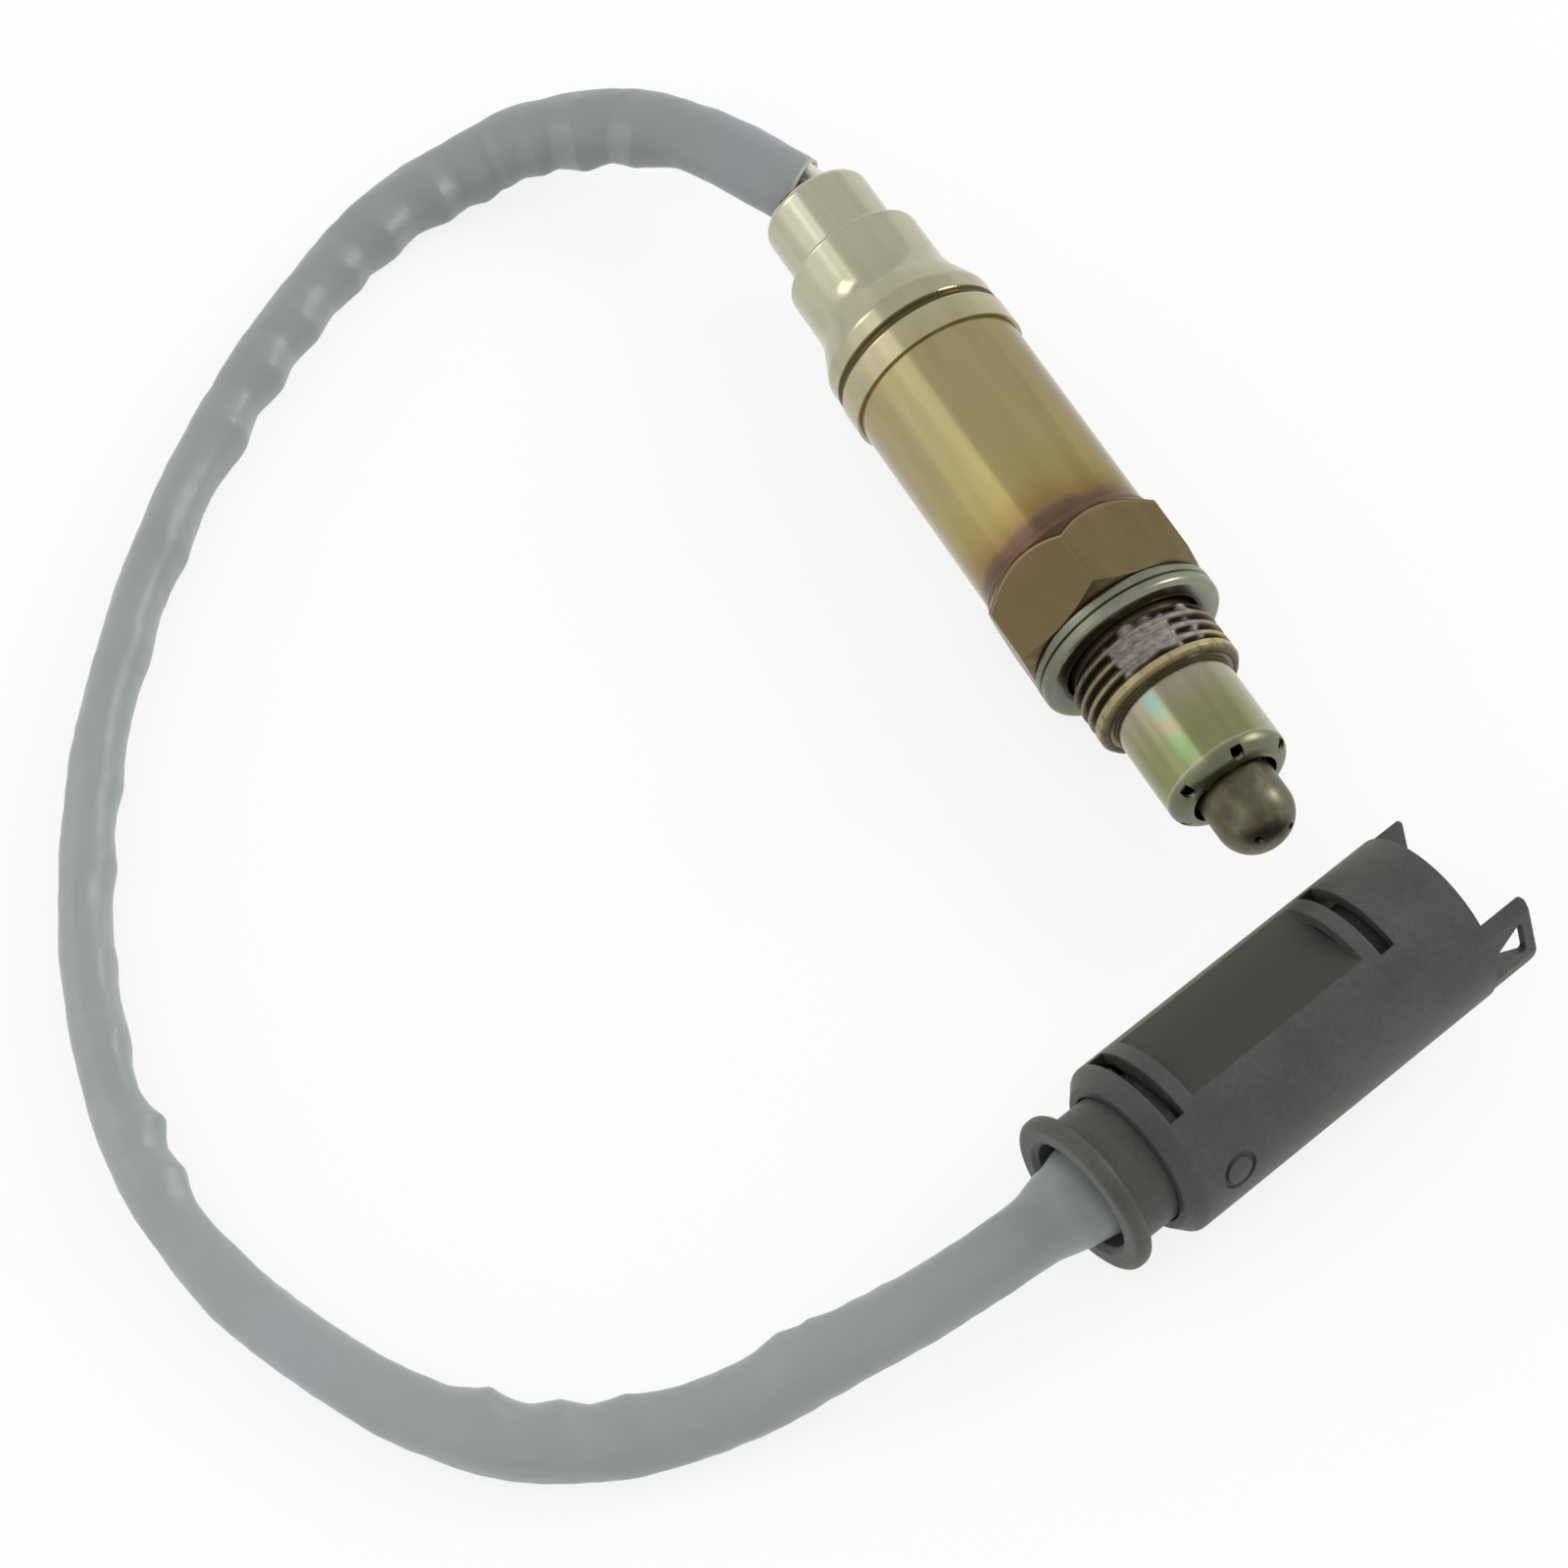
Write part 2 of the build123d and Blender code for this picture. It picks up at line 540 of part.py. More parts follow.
def cable_sheath():
    """Soft sheath round the four wires, as one plain tube."""
    path = SHEATH_PATH
    tube = sweep(Plane(path @ 0, z_dir=path % 0) * Circle(SHEATH_RADIUS), path)
    print("sheath length:", round(path.length, 1), "section x length / volume:",
          round(Circle(SHEATH_RADIUS).area * path.length / tube.volume, 4))
    return tube


def sensor_wire(angle):
    """One wire from its crimp barrel to the end of the sheath."""
    path = WIRE_PATH
    section = Plane(origin=path @ 0, x_dir=(0, 1, 0), z_dir=(-1, 0, 0))
    across = WIRE_CIRCLE * cos(radians(angle)), -WIRE_CIRCLE * sin(radians(angle))
    wire = sweep(section * Pos(*across) * Circle(WIRE_RADIUS), path)
    core_end = BARREL_FRONT - BARREL_CLOSED - 2 * FIT
    core = Pos(0, WIRE_CIRCLE, 0) * bar(BARREL_REAR, core_end, CORE_RADIUS)
    return wire + in_sensor(core, angle)


def both_sides(shape):
    """A shape and its copy on the other side of the connector's axis."""
    return around(shape, [0, 180])


def shell_ear(front, inside):
    """Latching ear ahead of the shell at +Y, with the triangle of its window to cut out."""
    end = front + EAR_LENGTH
    ear_block = block(front - SHELL_WALL, end, inside + FIT, SHELL_RADIUS - EAR_DROP,
                      -EAR_WIDTH / 2, EAR_WIDTH / 2)
    ear = fillet(ear_block.edges().filter_by(Axis.Y).group_by(Axis.X)[-1], EAR_ROUND)
    ear = ear & bar(front - SHELL_WALL, end, SHELL_RADIUS - FIT)
    base = end - WINDOW_FRAME
    triangle = FilletPolyline((base - WINDOW_LENGTH, 0), (base, WINDOW_WIDTH / 2),
                              (base, -WINDOW_WIDTH / 2), radius=WINDOW_ROUND, close=True)
    window = Pos(0, inside - SHELL_WALL, 0) * extrude(Plane.XZ * make_face(triangle), -3 * SHELL_WALL)
    return ear, window


def connector_shell():
    """Locking sleeve with two squeeze flats, four slots and two latching ears."""
    front = SHELL_REAR + SHELL_LENGTH
    flat_rear = SHELL_REAR + FLAT_START
    flat_front = flat_rear + FLAT_LENGTH
    inside = SHELL_RADIUS - SHELL_WALL
    neck = NECK_RADIUS + 4 * FIT
    tube = turned((SHELL_REAR, neck), (SHELL_REAR, SHELL_RADIUS - SHELL_BEVEL, EDGE_ROUND),
                  (SHELL_REAR + SHELL_BEVEL, SHELL_RADIUS, 3 * EDGE_ROUND), (front, SHELL_RADIUS),
                  (front, inside), (SHELL_REAR + SHELL_LIP, inside), (SHELL_REAR + SHELL_LIP, neck))
    across = -SHELL_RADIUS, SHELL_RADIUS
    pad = block(SHELL_REAR + SHELL_LIP / 2, flat_front, *across, FLAT_HEIGHT - FLAT_WALL, FLAT_HEIGHT) \
        & bar(SHELL_REAR, flat_front, inside + SHELL_WALL / 3)
    pad -= bar(SHELL_REAR, SHELL_REAR + SHELL_LIP + 2 * FIT, neck)
    ear, window = shell_ear(front, inside)
    flat = block(flat_rear, flat_front, *across, FLAT_HEIGHT, 2 * SHELL_RADIUS)
    slots = [block(start, start + SLOT_WIDTH, -SLOT_REACH, SLOT_REACH, 0, 2 * SHELL_RADIUS)
             for start in (flat_rear - SLOT_RIB - SLOT_WIDTH, flat_front + SLOT_RIB)]
    ring = Cylinder(MARK_RADIUS, 2 * MARK_DEPTH) - Cylinder(MARK_RADIUS - MARK_WIDTH, 2 * MARK_DEPTH)
    mark = Pos(SHELL_REAR + MARK_STATION, -SHELL_RADIUS, 0) * Rot(90, 0, 0) * ring
    shell = tube + both_sides(pad) + both_sides(ear) - both_sides(flat)
    return shell - both_sides(slots[0]) - both_sides(slots[1]) - both_sides(window) - mark


def contact_carrier():
    """Inner housing: rolled flange, neck, keyed collar, contact bores and the shroud round the pins."""
    collar_rear = SHELL_REAR + SHELL_LIP + FIT
    collar_front = collar_rear + KEY_COLLAR_LENGTH
    key_height = FLAT_HEIGHT - FLAT_WALL - 2 * FIT
    rim = turned((0, 0), (0, FLANGE_RADIUS, FLANGE_ROUND),
                 (FLANGE_THICKNESS, FLANGE_RADIUS, FLANGE_ROUND), (FLANGE_THICKNESS, 0))
    neck = bar(FLANGE_THICKNESS, collar_rear, NECK_RADIUS)
    collar = bar(collar_rear, collar_front, SHELL_RADIUS - SHELL_WALL - 2 * FIT) \
        & block(collar_rear, collar_front, -SHELL_RADIUS, SHELL_RADIUS, -key_height, key_height)
    barrel = bar(collar_front, SHROUD_END, CARRIER_RADIUS)
    pocket = turned((0, 0), (0, REAR_POCKET_RADIUS + POCKET_BEVEL), (POCKET_BEVEL, REAR_POCKET_RADIUS),
                    (REAR_POCKET_DEPTH, REAR_POCKET_RADIUS), (REAR_POCKET_DEPTH, 0))
    bore = CARRIER_RADIUS - SHROUD_WALL
    mouth = bar(CARRIER_FLOOR, SHROUD_END, bore)
    rib = block(CARRIER_FLOOR, SHROUD_END - KEY_RIB_SETBACK, -KEY_RIB_WIDTH / 2, KEY_RIB_WIDTH / 2,
                bore - KEY_RIB_HEIGHT, bore + SHROUD_WALL / 2)
    shoulder = CARRIER_FLOOR - FLOOR_THICKNESS
    deep = wire_bores(REAR_POCKET_DEPTH, shoulder, PIN_COLLAR_RADIUS + CONTACT_BORE_CLEARANCE)
    narrow = wire_bores(shoulder, CARRIER_FLOOR, PIN_RADIUS + CONTACT_BORE_CLEARANCE)
    return rim + neck + collar + barrel - pocket - mouth - deep - narrow + rib


def wire_seal():
    """Rubber seal in the flange's pocket, with a bore for each wire and two sealing lips."""
    lip = REAR_POCKET_RADIUS - FIT
    groove = lip - SEAL_GROOVE_DEPTH
    front = REAR_POCKET_DEPTH - FIT
    third = (front - WIRE_SEAL_REAR) / 3
    body = turned((WIRE_SEAL_REAR, 0), (WIRE_SEAL_REAR, lip, EDGE_ROUND),
                  (WIRE_SEAL_REAR + third, lip, EDGE_ROUND), (WIRE_SEAL_REAR + third, groove),
                  (front - third, groove), (front - third, lip, EDGE_ROUND),
                  (front, lip, EDGE_ROUND), (front, 0))
    return body - wire_bores(WIRE_SEAL_REAR, front, WIRE_RADIUS + FIT)


def contact_pin():
    """Turned contact on the wire circle at +Y: crimp barrel, retaining collar and round pin."""
    rear = REAR_POCKET_DEPTH + PIN_SETBACK
    shoulder = CARRIER_FLOOR - FLOOR_THICKNESS - FIT
    collar = shoulder - PIN_COLLAR_LENGTH
    end = CARRIER_FLOOR + PIN_LENGTH
    pin = turned((rear, CORE_RADIUS + FIT), (rear, BARREL_RADIUS, EDGE_ROUND), (collar, BARREL_RADIUS),
                 (collar, PIN_COLLAR_RADIUS), (shoulder, PIN_COLLAR_RADIUS), (shoulder, PIN_RADIUS),
                 (end, PIN_RADIUS, 0.8 * PIN_RADIUS), (end, 0), (rear + BARREL_LENGTH, 0),
                 (rear + BARREL_LENGTH, CORE_RADIUS + FIT))
    return Pos(0, WIRE_CIRCLE, 0) * pin


def connector_wire():
    """One wire on the wire circle at +Y, from the end of the sheath into its contact."""
    rear = REAR_POCKET_DEPTH + PIN_SETBACK - FIT
    wire = bar(WIRE_SEAL_REAR, rear, WIRE_RADIUS) + bar(rear, rear + BARREL_LENGTH, CORE_RADIUS)
    return Pos(0, WIRE_CIRCLE, 0) * wire


sensor_pieces = {
    "sensor_housing": sensor_housing(),
    "seal_ring": seal_ring(),
    "outer_protection_tube": outer_protection_tube(),
    "inner_protection_tube": inner_protection_tube(),
    "sensing_element": sensing_element(),
    "heater_rod": heater_rod(),
    "element_seal": element_seal(),
    "powder_packing": powder_packing(),
    "support_bush": support_bush(),
    "disc_spring": disc_spring(),
    "terminal_insulator": terminal_insulator(),
    "protective_sleeve": protective_sleeve(),
    "crimp_sleeve": crimp_sleeve(),
    "cable_grommet": cable_grommet(),
}
contacts = {
    "heater_contact_a": heater_contact(),
    "signal_contact": signal_contact(),
    "heater_contact_b": heater_contact(),
    "ground_contact": ground_contact(),
}
wire_names = ["wire_heater_a", "wire_signal", "wire_heater_b", "wire_ground"]
connector_pieces = {
    "connector_shell": connector_shell(),
    "contact_carrier": contact_carrier(),
    "wire_seal": wire_seal(),
}

nodes = {name: in_sensor(shape) for name, shape in sensor_pieces.items()}
nodes |= {name: in_sensor(shape, angle) for (name, shape), angle in zip(contacts.items(), QUARTERS)}
nodes |= {name: in_connector(shape) for name, shape in connector_pieces.items()}
for number, (name, angle) in enumerate(zip(wire_names, QUARTERS), start=1):
    nodes[name] = Compound([sensor_wire(angle), in_connector(connector_wire(), angle)])
    nodes[f"contact_pin_{number}"] = in_connector(contact_pin(), angle)
nodes["cable_sheath"] = cable_sheath()

os.makedirs("parts", exist_ok=True)
for name, shape in nodes.items():
    export_step(shape, f"parts/{name}.step")
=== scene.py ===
import math

import bpy
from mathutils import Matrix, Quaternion, Vector, noise

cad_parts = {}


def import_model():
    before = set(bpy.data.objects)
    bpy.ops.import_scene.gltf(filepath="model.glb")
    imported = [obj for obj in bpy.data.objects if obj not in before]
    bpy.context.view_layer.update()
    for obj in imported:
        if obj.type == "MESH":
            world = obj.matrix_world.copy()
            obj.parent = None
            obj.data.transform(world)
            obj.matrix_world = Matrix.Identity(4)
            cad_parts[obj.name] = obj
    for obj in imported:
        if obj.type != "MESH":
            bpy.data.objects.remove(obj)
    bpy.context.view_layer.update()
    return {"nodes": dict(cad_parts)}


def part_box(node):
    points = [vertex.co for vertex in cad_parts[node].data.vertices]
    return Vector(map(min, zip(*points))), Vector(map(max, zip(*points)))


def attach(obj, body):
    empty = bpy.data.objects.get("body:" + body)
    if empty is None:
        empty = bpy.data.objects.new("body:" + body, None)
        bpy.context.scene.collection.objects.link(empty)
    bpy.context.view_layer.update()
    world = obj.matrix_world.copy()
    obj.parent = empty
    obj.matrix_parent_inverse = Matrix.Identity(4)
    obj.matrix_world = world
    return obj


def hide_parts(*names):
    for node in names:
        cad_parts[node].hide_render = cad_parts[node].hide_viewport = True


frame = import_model()
NODES = frame["nodes"]

MM = 0.001
UP = Vector((0, 0, 1))
WHITE = (1, 1, 1, 1)


# ---------------------------------------------------------------- places and sizes

# The sensor lies along X. A station is a distance in mm from its seal face toward its tip. A turn is an
# angle round it from the top toward +Y, and a way is that turn as a distance in mm at WAY_RADIUS.
SEAL_LOW, SEAL_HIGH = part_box("seal_ring")
SEAL_FACE = SEAL_HIGH.x
AXIS_HEIGHT = (SEAL_LOW.z + SEAL_HIGH.z) / 2
THREAD_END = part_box("sensor_housing")[1].x
WAY_RADIUS = 10.0

# Camera: its place in metres, its turns in degrees, and its lens and the width of its sensor in mm
CAMERA_PLACE = (SEAL_FACE + 0.22036, -0.17272, 0.4629)
CAMERA_TILT = 30.0
CAMERA_AZIMUTH = 59.85
CAMERA_LENS = 110.25
CAMERA_SENSOR = 36.0

# Route of the lead from the sensor to the connector, in metres
ROUTE = [
    (-0.0534, -0.0009, 0.0120),
    (-0.0625, -0.0046, 0.0116),
    (-0.0716, -0.0106, 0.0097),
    (-0.0780, -0.0196, 0.0070),
    (-0.0807, -0.0307, 0.0046),
    (-0.0788, -0.0434, 0.0038),
    (-0.0713, -0.0582, 0.00375),
    (-0.0616, -0.0730, 0.00375),
    (-0.0489, -0.0877, 0.00375),
    (-0.0329, -0.1014, 0.00375),
    (-0.0150, -0.1125, 0.00375),
    (0.0038, -0.1198, 0.00375),
    (0.0224, -0.1226, 0.00375),
    (0.0400, -0.1187, 0.00375),
    (0.0552, -0.1114, 0.00375),
    (0.0652, -0.1034, 0.00375),
    (0.0712, -0.0924, 0.0038),
    (0.0736, -0.0794, 0.0047),
    (0.0748, -0.0662, 0.0070),
    (0.0752, -0.0544, 0.0096),
    (0.0744, -0.0441, 0.0105),
    (0.0727, -0.0348, 0.0105),
]

# Sheath: half its width and half its height in mm, by distance in mm from its sensor end
SHEATH_WIDTH = [(0, 4.4), (14, 4.6), (24, 4.75), (34, 4.6), (47, 4.0), (65, 3.45), (88, 3.1),
                (115, 2.9), (143, 2.95), (170, 3.0), (193, 3.2), (212, 3.6), (234, 4.0), (262, 4.2),
                (278, 4.05), (290, 3.75), (297, 3.9), (302, 4.8), (306, 5.6), (310, 5.9)]
SHEATH_HEIGHT = [(0, 3.5), (10, 3.2), (30, 3.2), (60, 3.3), (100, 3.4), (190, 3.3), (235, 3.2),
                 (280, 3.3), (298, 3.5), (304, 4.4), (310, 5.4)]
SHEATH_SQUARE = 0.9           # power that makes its oval section a little square
SHEATH_WAVE = (0.28, 0.11)    # mm that its skin wanders, and steps of that noise to each mm along it
SHEATH_RIPPLE = (0.1, 0.45)   # the same again, smaller and quicker
SHEATH_SIDES = 64
SHEATH_WALL = 0.5 * MM
SHEATH_MOUTH = 9 * MM         # how far its ends are hollow
MOUTH_REACH = (3.0, 0.9)      # mm that its mouth runs on toward the sensor: inner side, outer side
MOUTH_SLANT = 8               # mm from its end over which that slant dies out
FLOOR_CLEARANCE = 0.04 * MM
LIFT_HEIGHTS = (0.0042, 0.0062)   # metres over the floor between which its centreline lifts it off
SHEATH_SHADE = (-0.11, -0.03)   # Y, in metres, where its painted shade starts and where it is darkest

# Folds on the inner side of the sheath's bends: distance along it, height and half length, in mm
FOLDS = [(19.6, 0.9, 6.0), (27.7, 1.1, 6.0), (33.7, 0.6, 4.5), (38.3, 0.5, 4.0), (42.0, 0.8, 4.5),
         (48.0, 0.9, 6.0), (57.0, 0.8, 6.5), (64.0, 0.6, 5.5), (73.0, 0.7, 6.0), (81.0, 0.8, 6.0),
         (90.0, 0.8, 6.5), (107.0, 0.6, 8.0), (121.0, 0.5, 8.0), (139.0, 0.45, 6.0),
         (149.0, 0.45, 6.0), (161.0, 0.3, 6.0), (171.0, 0.3, 6.0), (182.8, 1.0, 5.0),
         (189.6, 0.7, 5.5), (235.0, 0.8, 6.0), (243.4, 0.5, 5.0), (251.2, 0.4, 6.0),
         (269.0, 0.5, 6.0), (272.6, 0.3, 4.0)]
FOLD_SIDE = 0.5               # where round the sheath they stand highest, radians from inward
FOLD_GAIN = 1.45              # how many times the listed height they are there
FOLD_FADE = 1.4               # power by which they sink away from that side
FOLD_BLUNT = 0.07             # how blunt their tops are on that side
FOLD_CORE = 0.95              # how near to it they stay that sharp, from 0 opposite it to 1 on it
FOLD_SOFTEN = 0.9             # how much blunter they get from there to the side opposite
FOLD_LOSS = 0.4               # share of their bluntness that is taken off their height
FOLD_SINK = 0.12              # mm that the skin is drawn in on that side

# Wires inside the sheath's mouth, with the side of the centreline on which each one lies
WIRE_RADIUS = 0.95 * MM
WIRE_OFFSET = 1.84 * MM       # of each wire from the lead's centreline, both ways
WIRE_GATHER = 0.42            # share of that offset lost inside the mouth
WIRE_LAP = 2 * MM             # how far the wires run on past the hollow end
WIRE_SIDES = 16
WIRES = [("wire_heater_a", "wire_white", 1, 1), ("wire_signal", "wire_black", -1, 1),
         ("wire_heater_b", "wire_white", -1, -1), ("wire_ground", "wire_grey", 1, -1)]

# Hexagon, in mm
HEX_REAR = -12.7              # station of its rear face
HEX_HALF = 11.0               # half its width across flats
HALF_FLAT = math.radians(30)      # half the turn that one flat takes up
HEX_CORNER = HEX_HALF / math.cos(HALF_FLAT)
HEX_TURN = math.radians(12.5)     # turn of one flat's middle
HEX_BEVEL = 2.0               # length of its rear bevel at the corners
PLAIN_BEVEL = (HEX_CORNER - HEX_HALF) * math.tan(math.radians(28))    # and of the CAD body's bevel
HEX_SLACK = 0.02              # by which a vertex of that bevel may miss its edges
FACE_SLACK = 0.001            # and one on the rear face may miss that
HEX_SHADED_FACE = (-13.5, -3.1)     # ways of its near face, darkened as painted shade

# Threaded shank, in mm
THREAD_CREST = 9.0            # radii of its crests and roots
THREAD_ROOT = 8.08
THREAD_PITCH = 1.5
THREAD_FLANK = (0.22, 0.82)   # where a flank starts and ends, from 0 at a crest to 1 at a root
THREAD_START = 0.7            # stations of its two ends
THREAD_STOP = (THREAD_END - SEAL_FACE) / MM
THREAD_RUN_IN = (0.1, 1.1)    # how high it starts over the root, and how steeply it rises
THREAD_PLAIN = 1.25           # length of the plain land at its front end
LAND_EDGE = (-0.25, 0.1)      # where the turns run out, from the start of that land
THREAD_BEVEL = (0.5, 0.75)    # length of its front bevel, and how steeply it falls
THREAD_ROWS = 170
THREAD_STEPS = 180            # columns to a turn
CORE_RADIUS = 8.0             # what is left of the plain shank below the thread
CORE_SLACK = 0.05             # by which that core starts behind the thread
SLEEVE_LAP = 0.05             # of the thread into that core

# Paste on the thread: turns in radians, stations and depths in mm
PASTE_TURN = -0.08            # turn of its middle, and half the turn it covers
PASTE_SPREAD = 0.78
PASTE_STATION = 3.7           # station of its middle, and half its length
PASTE_REACH = 2.9
PASTE_RAGGED = 0.4            # share of either half by which its border wanders
PASTE_EDGE = (0.05, 0.35)     # where it starts and where it is full, from 0 on that border to 1 inside
PASTE_HOLES = 0.34            # turn of the holes torn in it, and half their width
PASTE_TEAR = 0.16
TEAR_STEEP = 2.2              # how steeply those holes open
TEAR_HEIGHT = (0.45, 0.9)     # heights from 0 at a root to 1 at a crest between which a hole closes
PASTE_DEPTH = 0.14            # depth of its skin below the crests
PASTE_LUMPS = 0.12            # by which that skin wanders, and by which it sags between the crests
PASTE_SAG = 0.05

# Colours on the sensor, by station and way in mm
GROOVE = (-46.25, -45.0)      # stations of the crimped groove
STREAK_WAY = -6.3             # middle of the painted reflection in rainbow colours on the outer tube
STREAK_HALF = (1.9, 0.5)      # half widths of that streak, where it starts and where it is full
SMOKE_EDGE = 18.5             # station from which that tube is smoky

# Connector: its place in metres, the heading of its axis from +X toward +Y, and two directions across
# it, each rolled about that axis from straight up: out of a squeeze flat and out of a flank, where its
# sheen is painted
CONNECTOR_PLACE = Vector((0.0737, -0.0402, 0.0105))
HEADING = math.radians(100.5)
CONNECTOR_AXIS = Vector((math.cos(HEADING), math.sin(HEADING), 0))
FLAT_NORMAL = Quaternion(CONNECTOR_AXIS, math.radians(-21.4)) @ UP
FLANK_NORMAL = Quaternion(CONNECTOR_AXIS, math.radians(113.638)) @ UP
FLAT_LEVEL = 8.76             # mm from the axis to a squeeze flat
FLAT_SPAN = (13.2, 37.4)      # mm along the axis that the flats take up
FLANK_SHEEN = (6.5, 11.0)      # mm from the axis over which the painted sheen on the flanks grows
EDGE_ROUND = 0.3 * MM         # by which the moulding's edges look rounded

# Most of a noise lies between these two values
NOISE_LOW, NOISE_HIGH = 0.3, 0.7

# Room: the even light on the object, and what the camera and reflections see in its place
AMBIENT = 0.72                # radiance of that light
OVERHEAD = 0.8                # how bright the room is above its white walls
WALL_TOP = (0.2, 0.3)         # height of the direction in which those walls end
FLOOR_GREY = 0.95             # the floor's own colour
FLOOR_SHADOW = 0.18           # share of the floor's own shading that is seen on its white
FLOOR_REACH = 30.0            # metres to its edges, too far away to be told from the walls

# Window toward -Y, where the sensor's near side is, in metres
WINDOW_TILT = math.radians(27.6)  # of the direction toward it over the floor
WINDOW_DISTANCE = 0.8
WINDOW_SIZE = (1.4, 0.83)
WINDOW_SHIFT = -0.38          # of its middle along X
WINDOW_GLOW = (0.14, 0.64)    # radiance at its foot and at its upper edge


def srgb(red, green, blue):
    """A colour given in display values from 0 to 255, as a shader needs it."""
    return [((value / 255 + 0.055) / 1.055) ** 2.4 for value in (red, green, blue)] + [1.0]


def scaled(colour, red, green, blue):
    """A colour with its channels made darker or lighter."""
    return [channel * factor for channel, factor in zip(colour, (red, green, blue, 1.0))]


def smooth(value, low, high):
    """0 below low, 1 above high and a smooth step between."""
    share = min(max((value - low) / (high - low), 0.0), 1.0)
    return share * share * (3 - 2 * share)


def along(stops, value):
    """A size read from (distance, size) stops, eased between them."""
    for (start, first), (end, second) in zip(stops, stops[1:]):
        if value <= end:
            return first + (second - first) * smooth(value, start, end)
    return stops[-1][1]


def angles_round(count):
    """As many angles, evenly spaced from 0 round a full turn."""
    return [2 * math.pi * step / count for step in range(count)]


# ---------------------------------------------------------------- materials

class Tree:
    """A tree of shader nodes, built node by node."""

    def __init__(self, tree):
        self.nodes = tree.nodes
        self.links = tree.links

    def node(self, kind, *values, **settings):
        """A node with its inputs, in order, given as numbers, colours or other nodes' outputs."""
        node = self.nodes.new("ShaderNode" + kind)
        for setting, value in settings.items():
            setattr(node, setting, value)
        for socket, value in zip(node.inputs, values):
            self.feed(socket, value)
        return node

    def feed(self, socket, value):
        if isinstance(value, bpy.types.NodeSocket):
            self.links.new(value, socket)
        else:
            socket.default_value = value

    def math(self, operation, *values):
        return self.node("Math", *values, operation=operation).outputs[0]

    def vector(self, x, y, z):
        return self.node("CombineXYZ", x, y, z).outputs[0]

    def axes(self, vector):
        return self.node("SeparateXYZ", vector).outputs

    def spread(self, value, low, high, new_low=0.0, new_high=1.0):
        """Maps one range onto another, held at its ends."""
        return self.node("MapRange", value, low, high, new_low, new_high).outputs[0]

    def seen_directly(self):
        """1 for what the camera, reflections and glass see directly, else 0."""
        rays = self.node("LightPath").outputs
        share = self.math("MAXIMUM", rays["Is Camera Ray"], rays["Is Glossy Ray"])
        return self.math("MAXIMUM", share, rays["Is Transmission Ray"])

    def mixed_shaders(self, share, first, second):
        return self.node("MixShader", share, first, second).outputs[0]


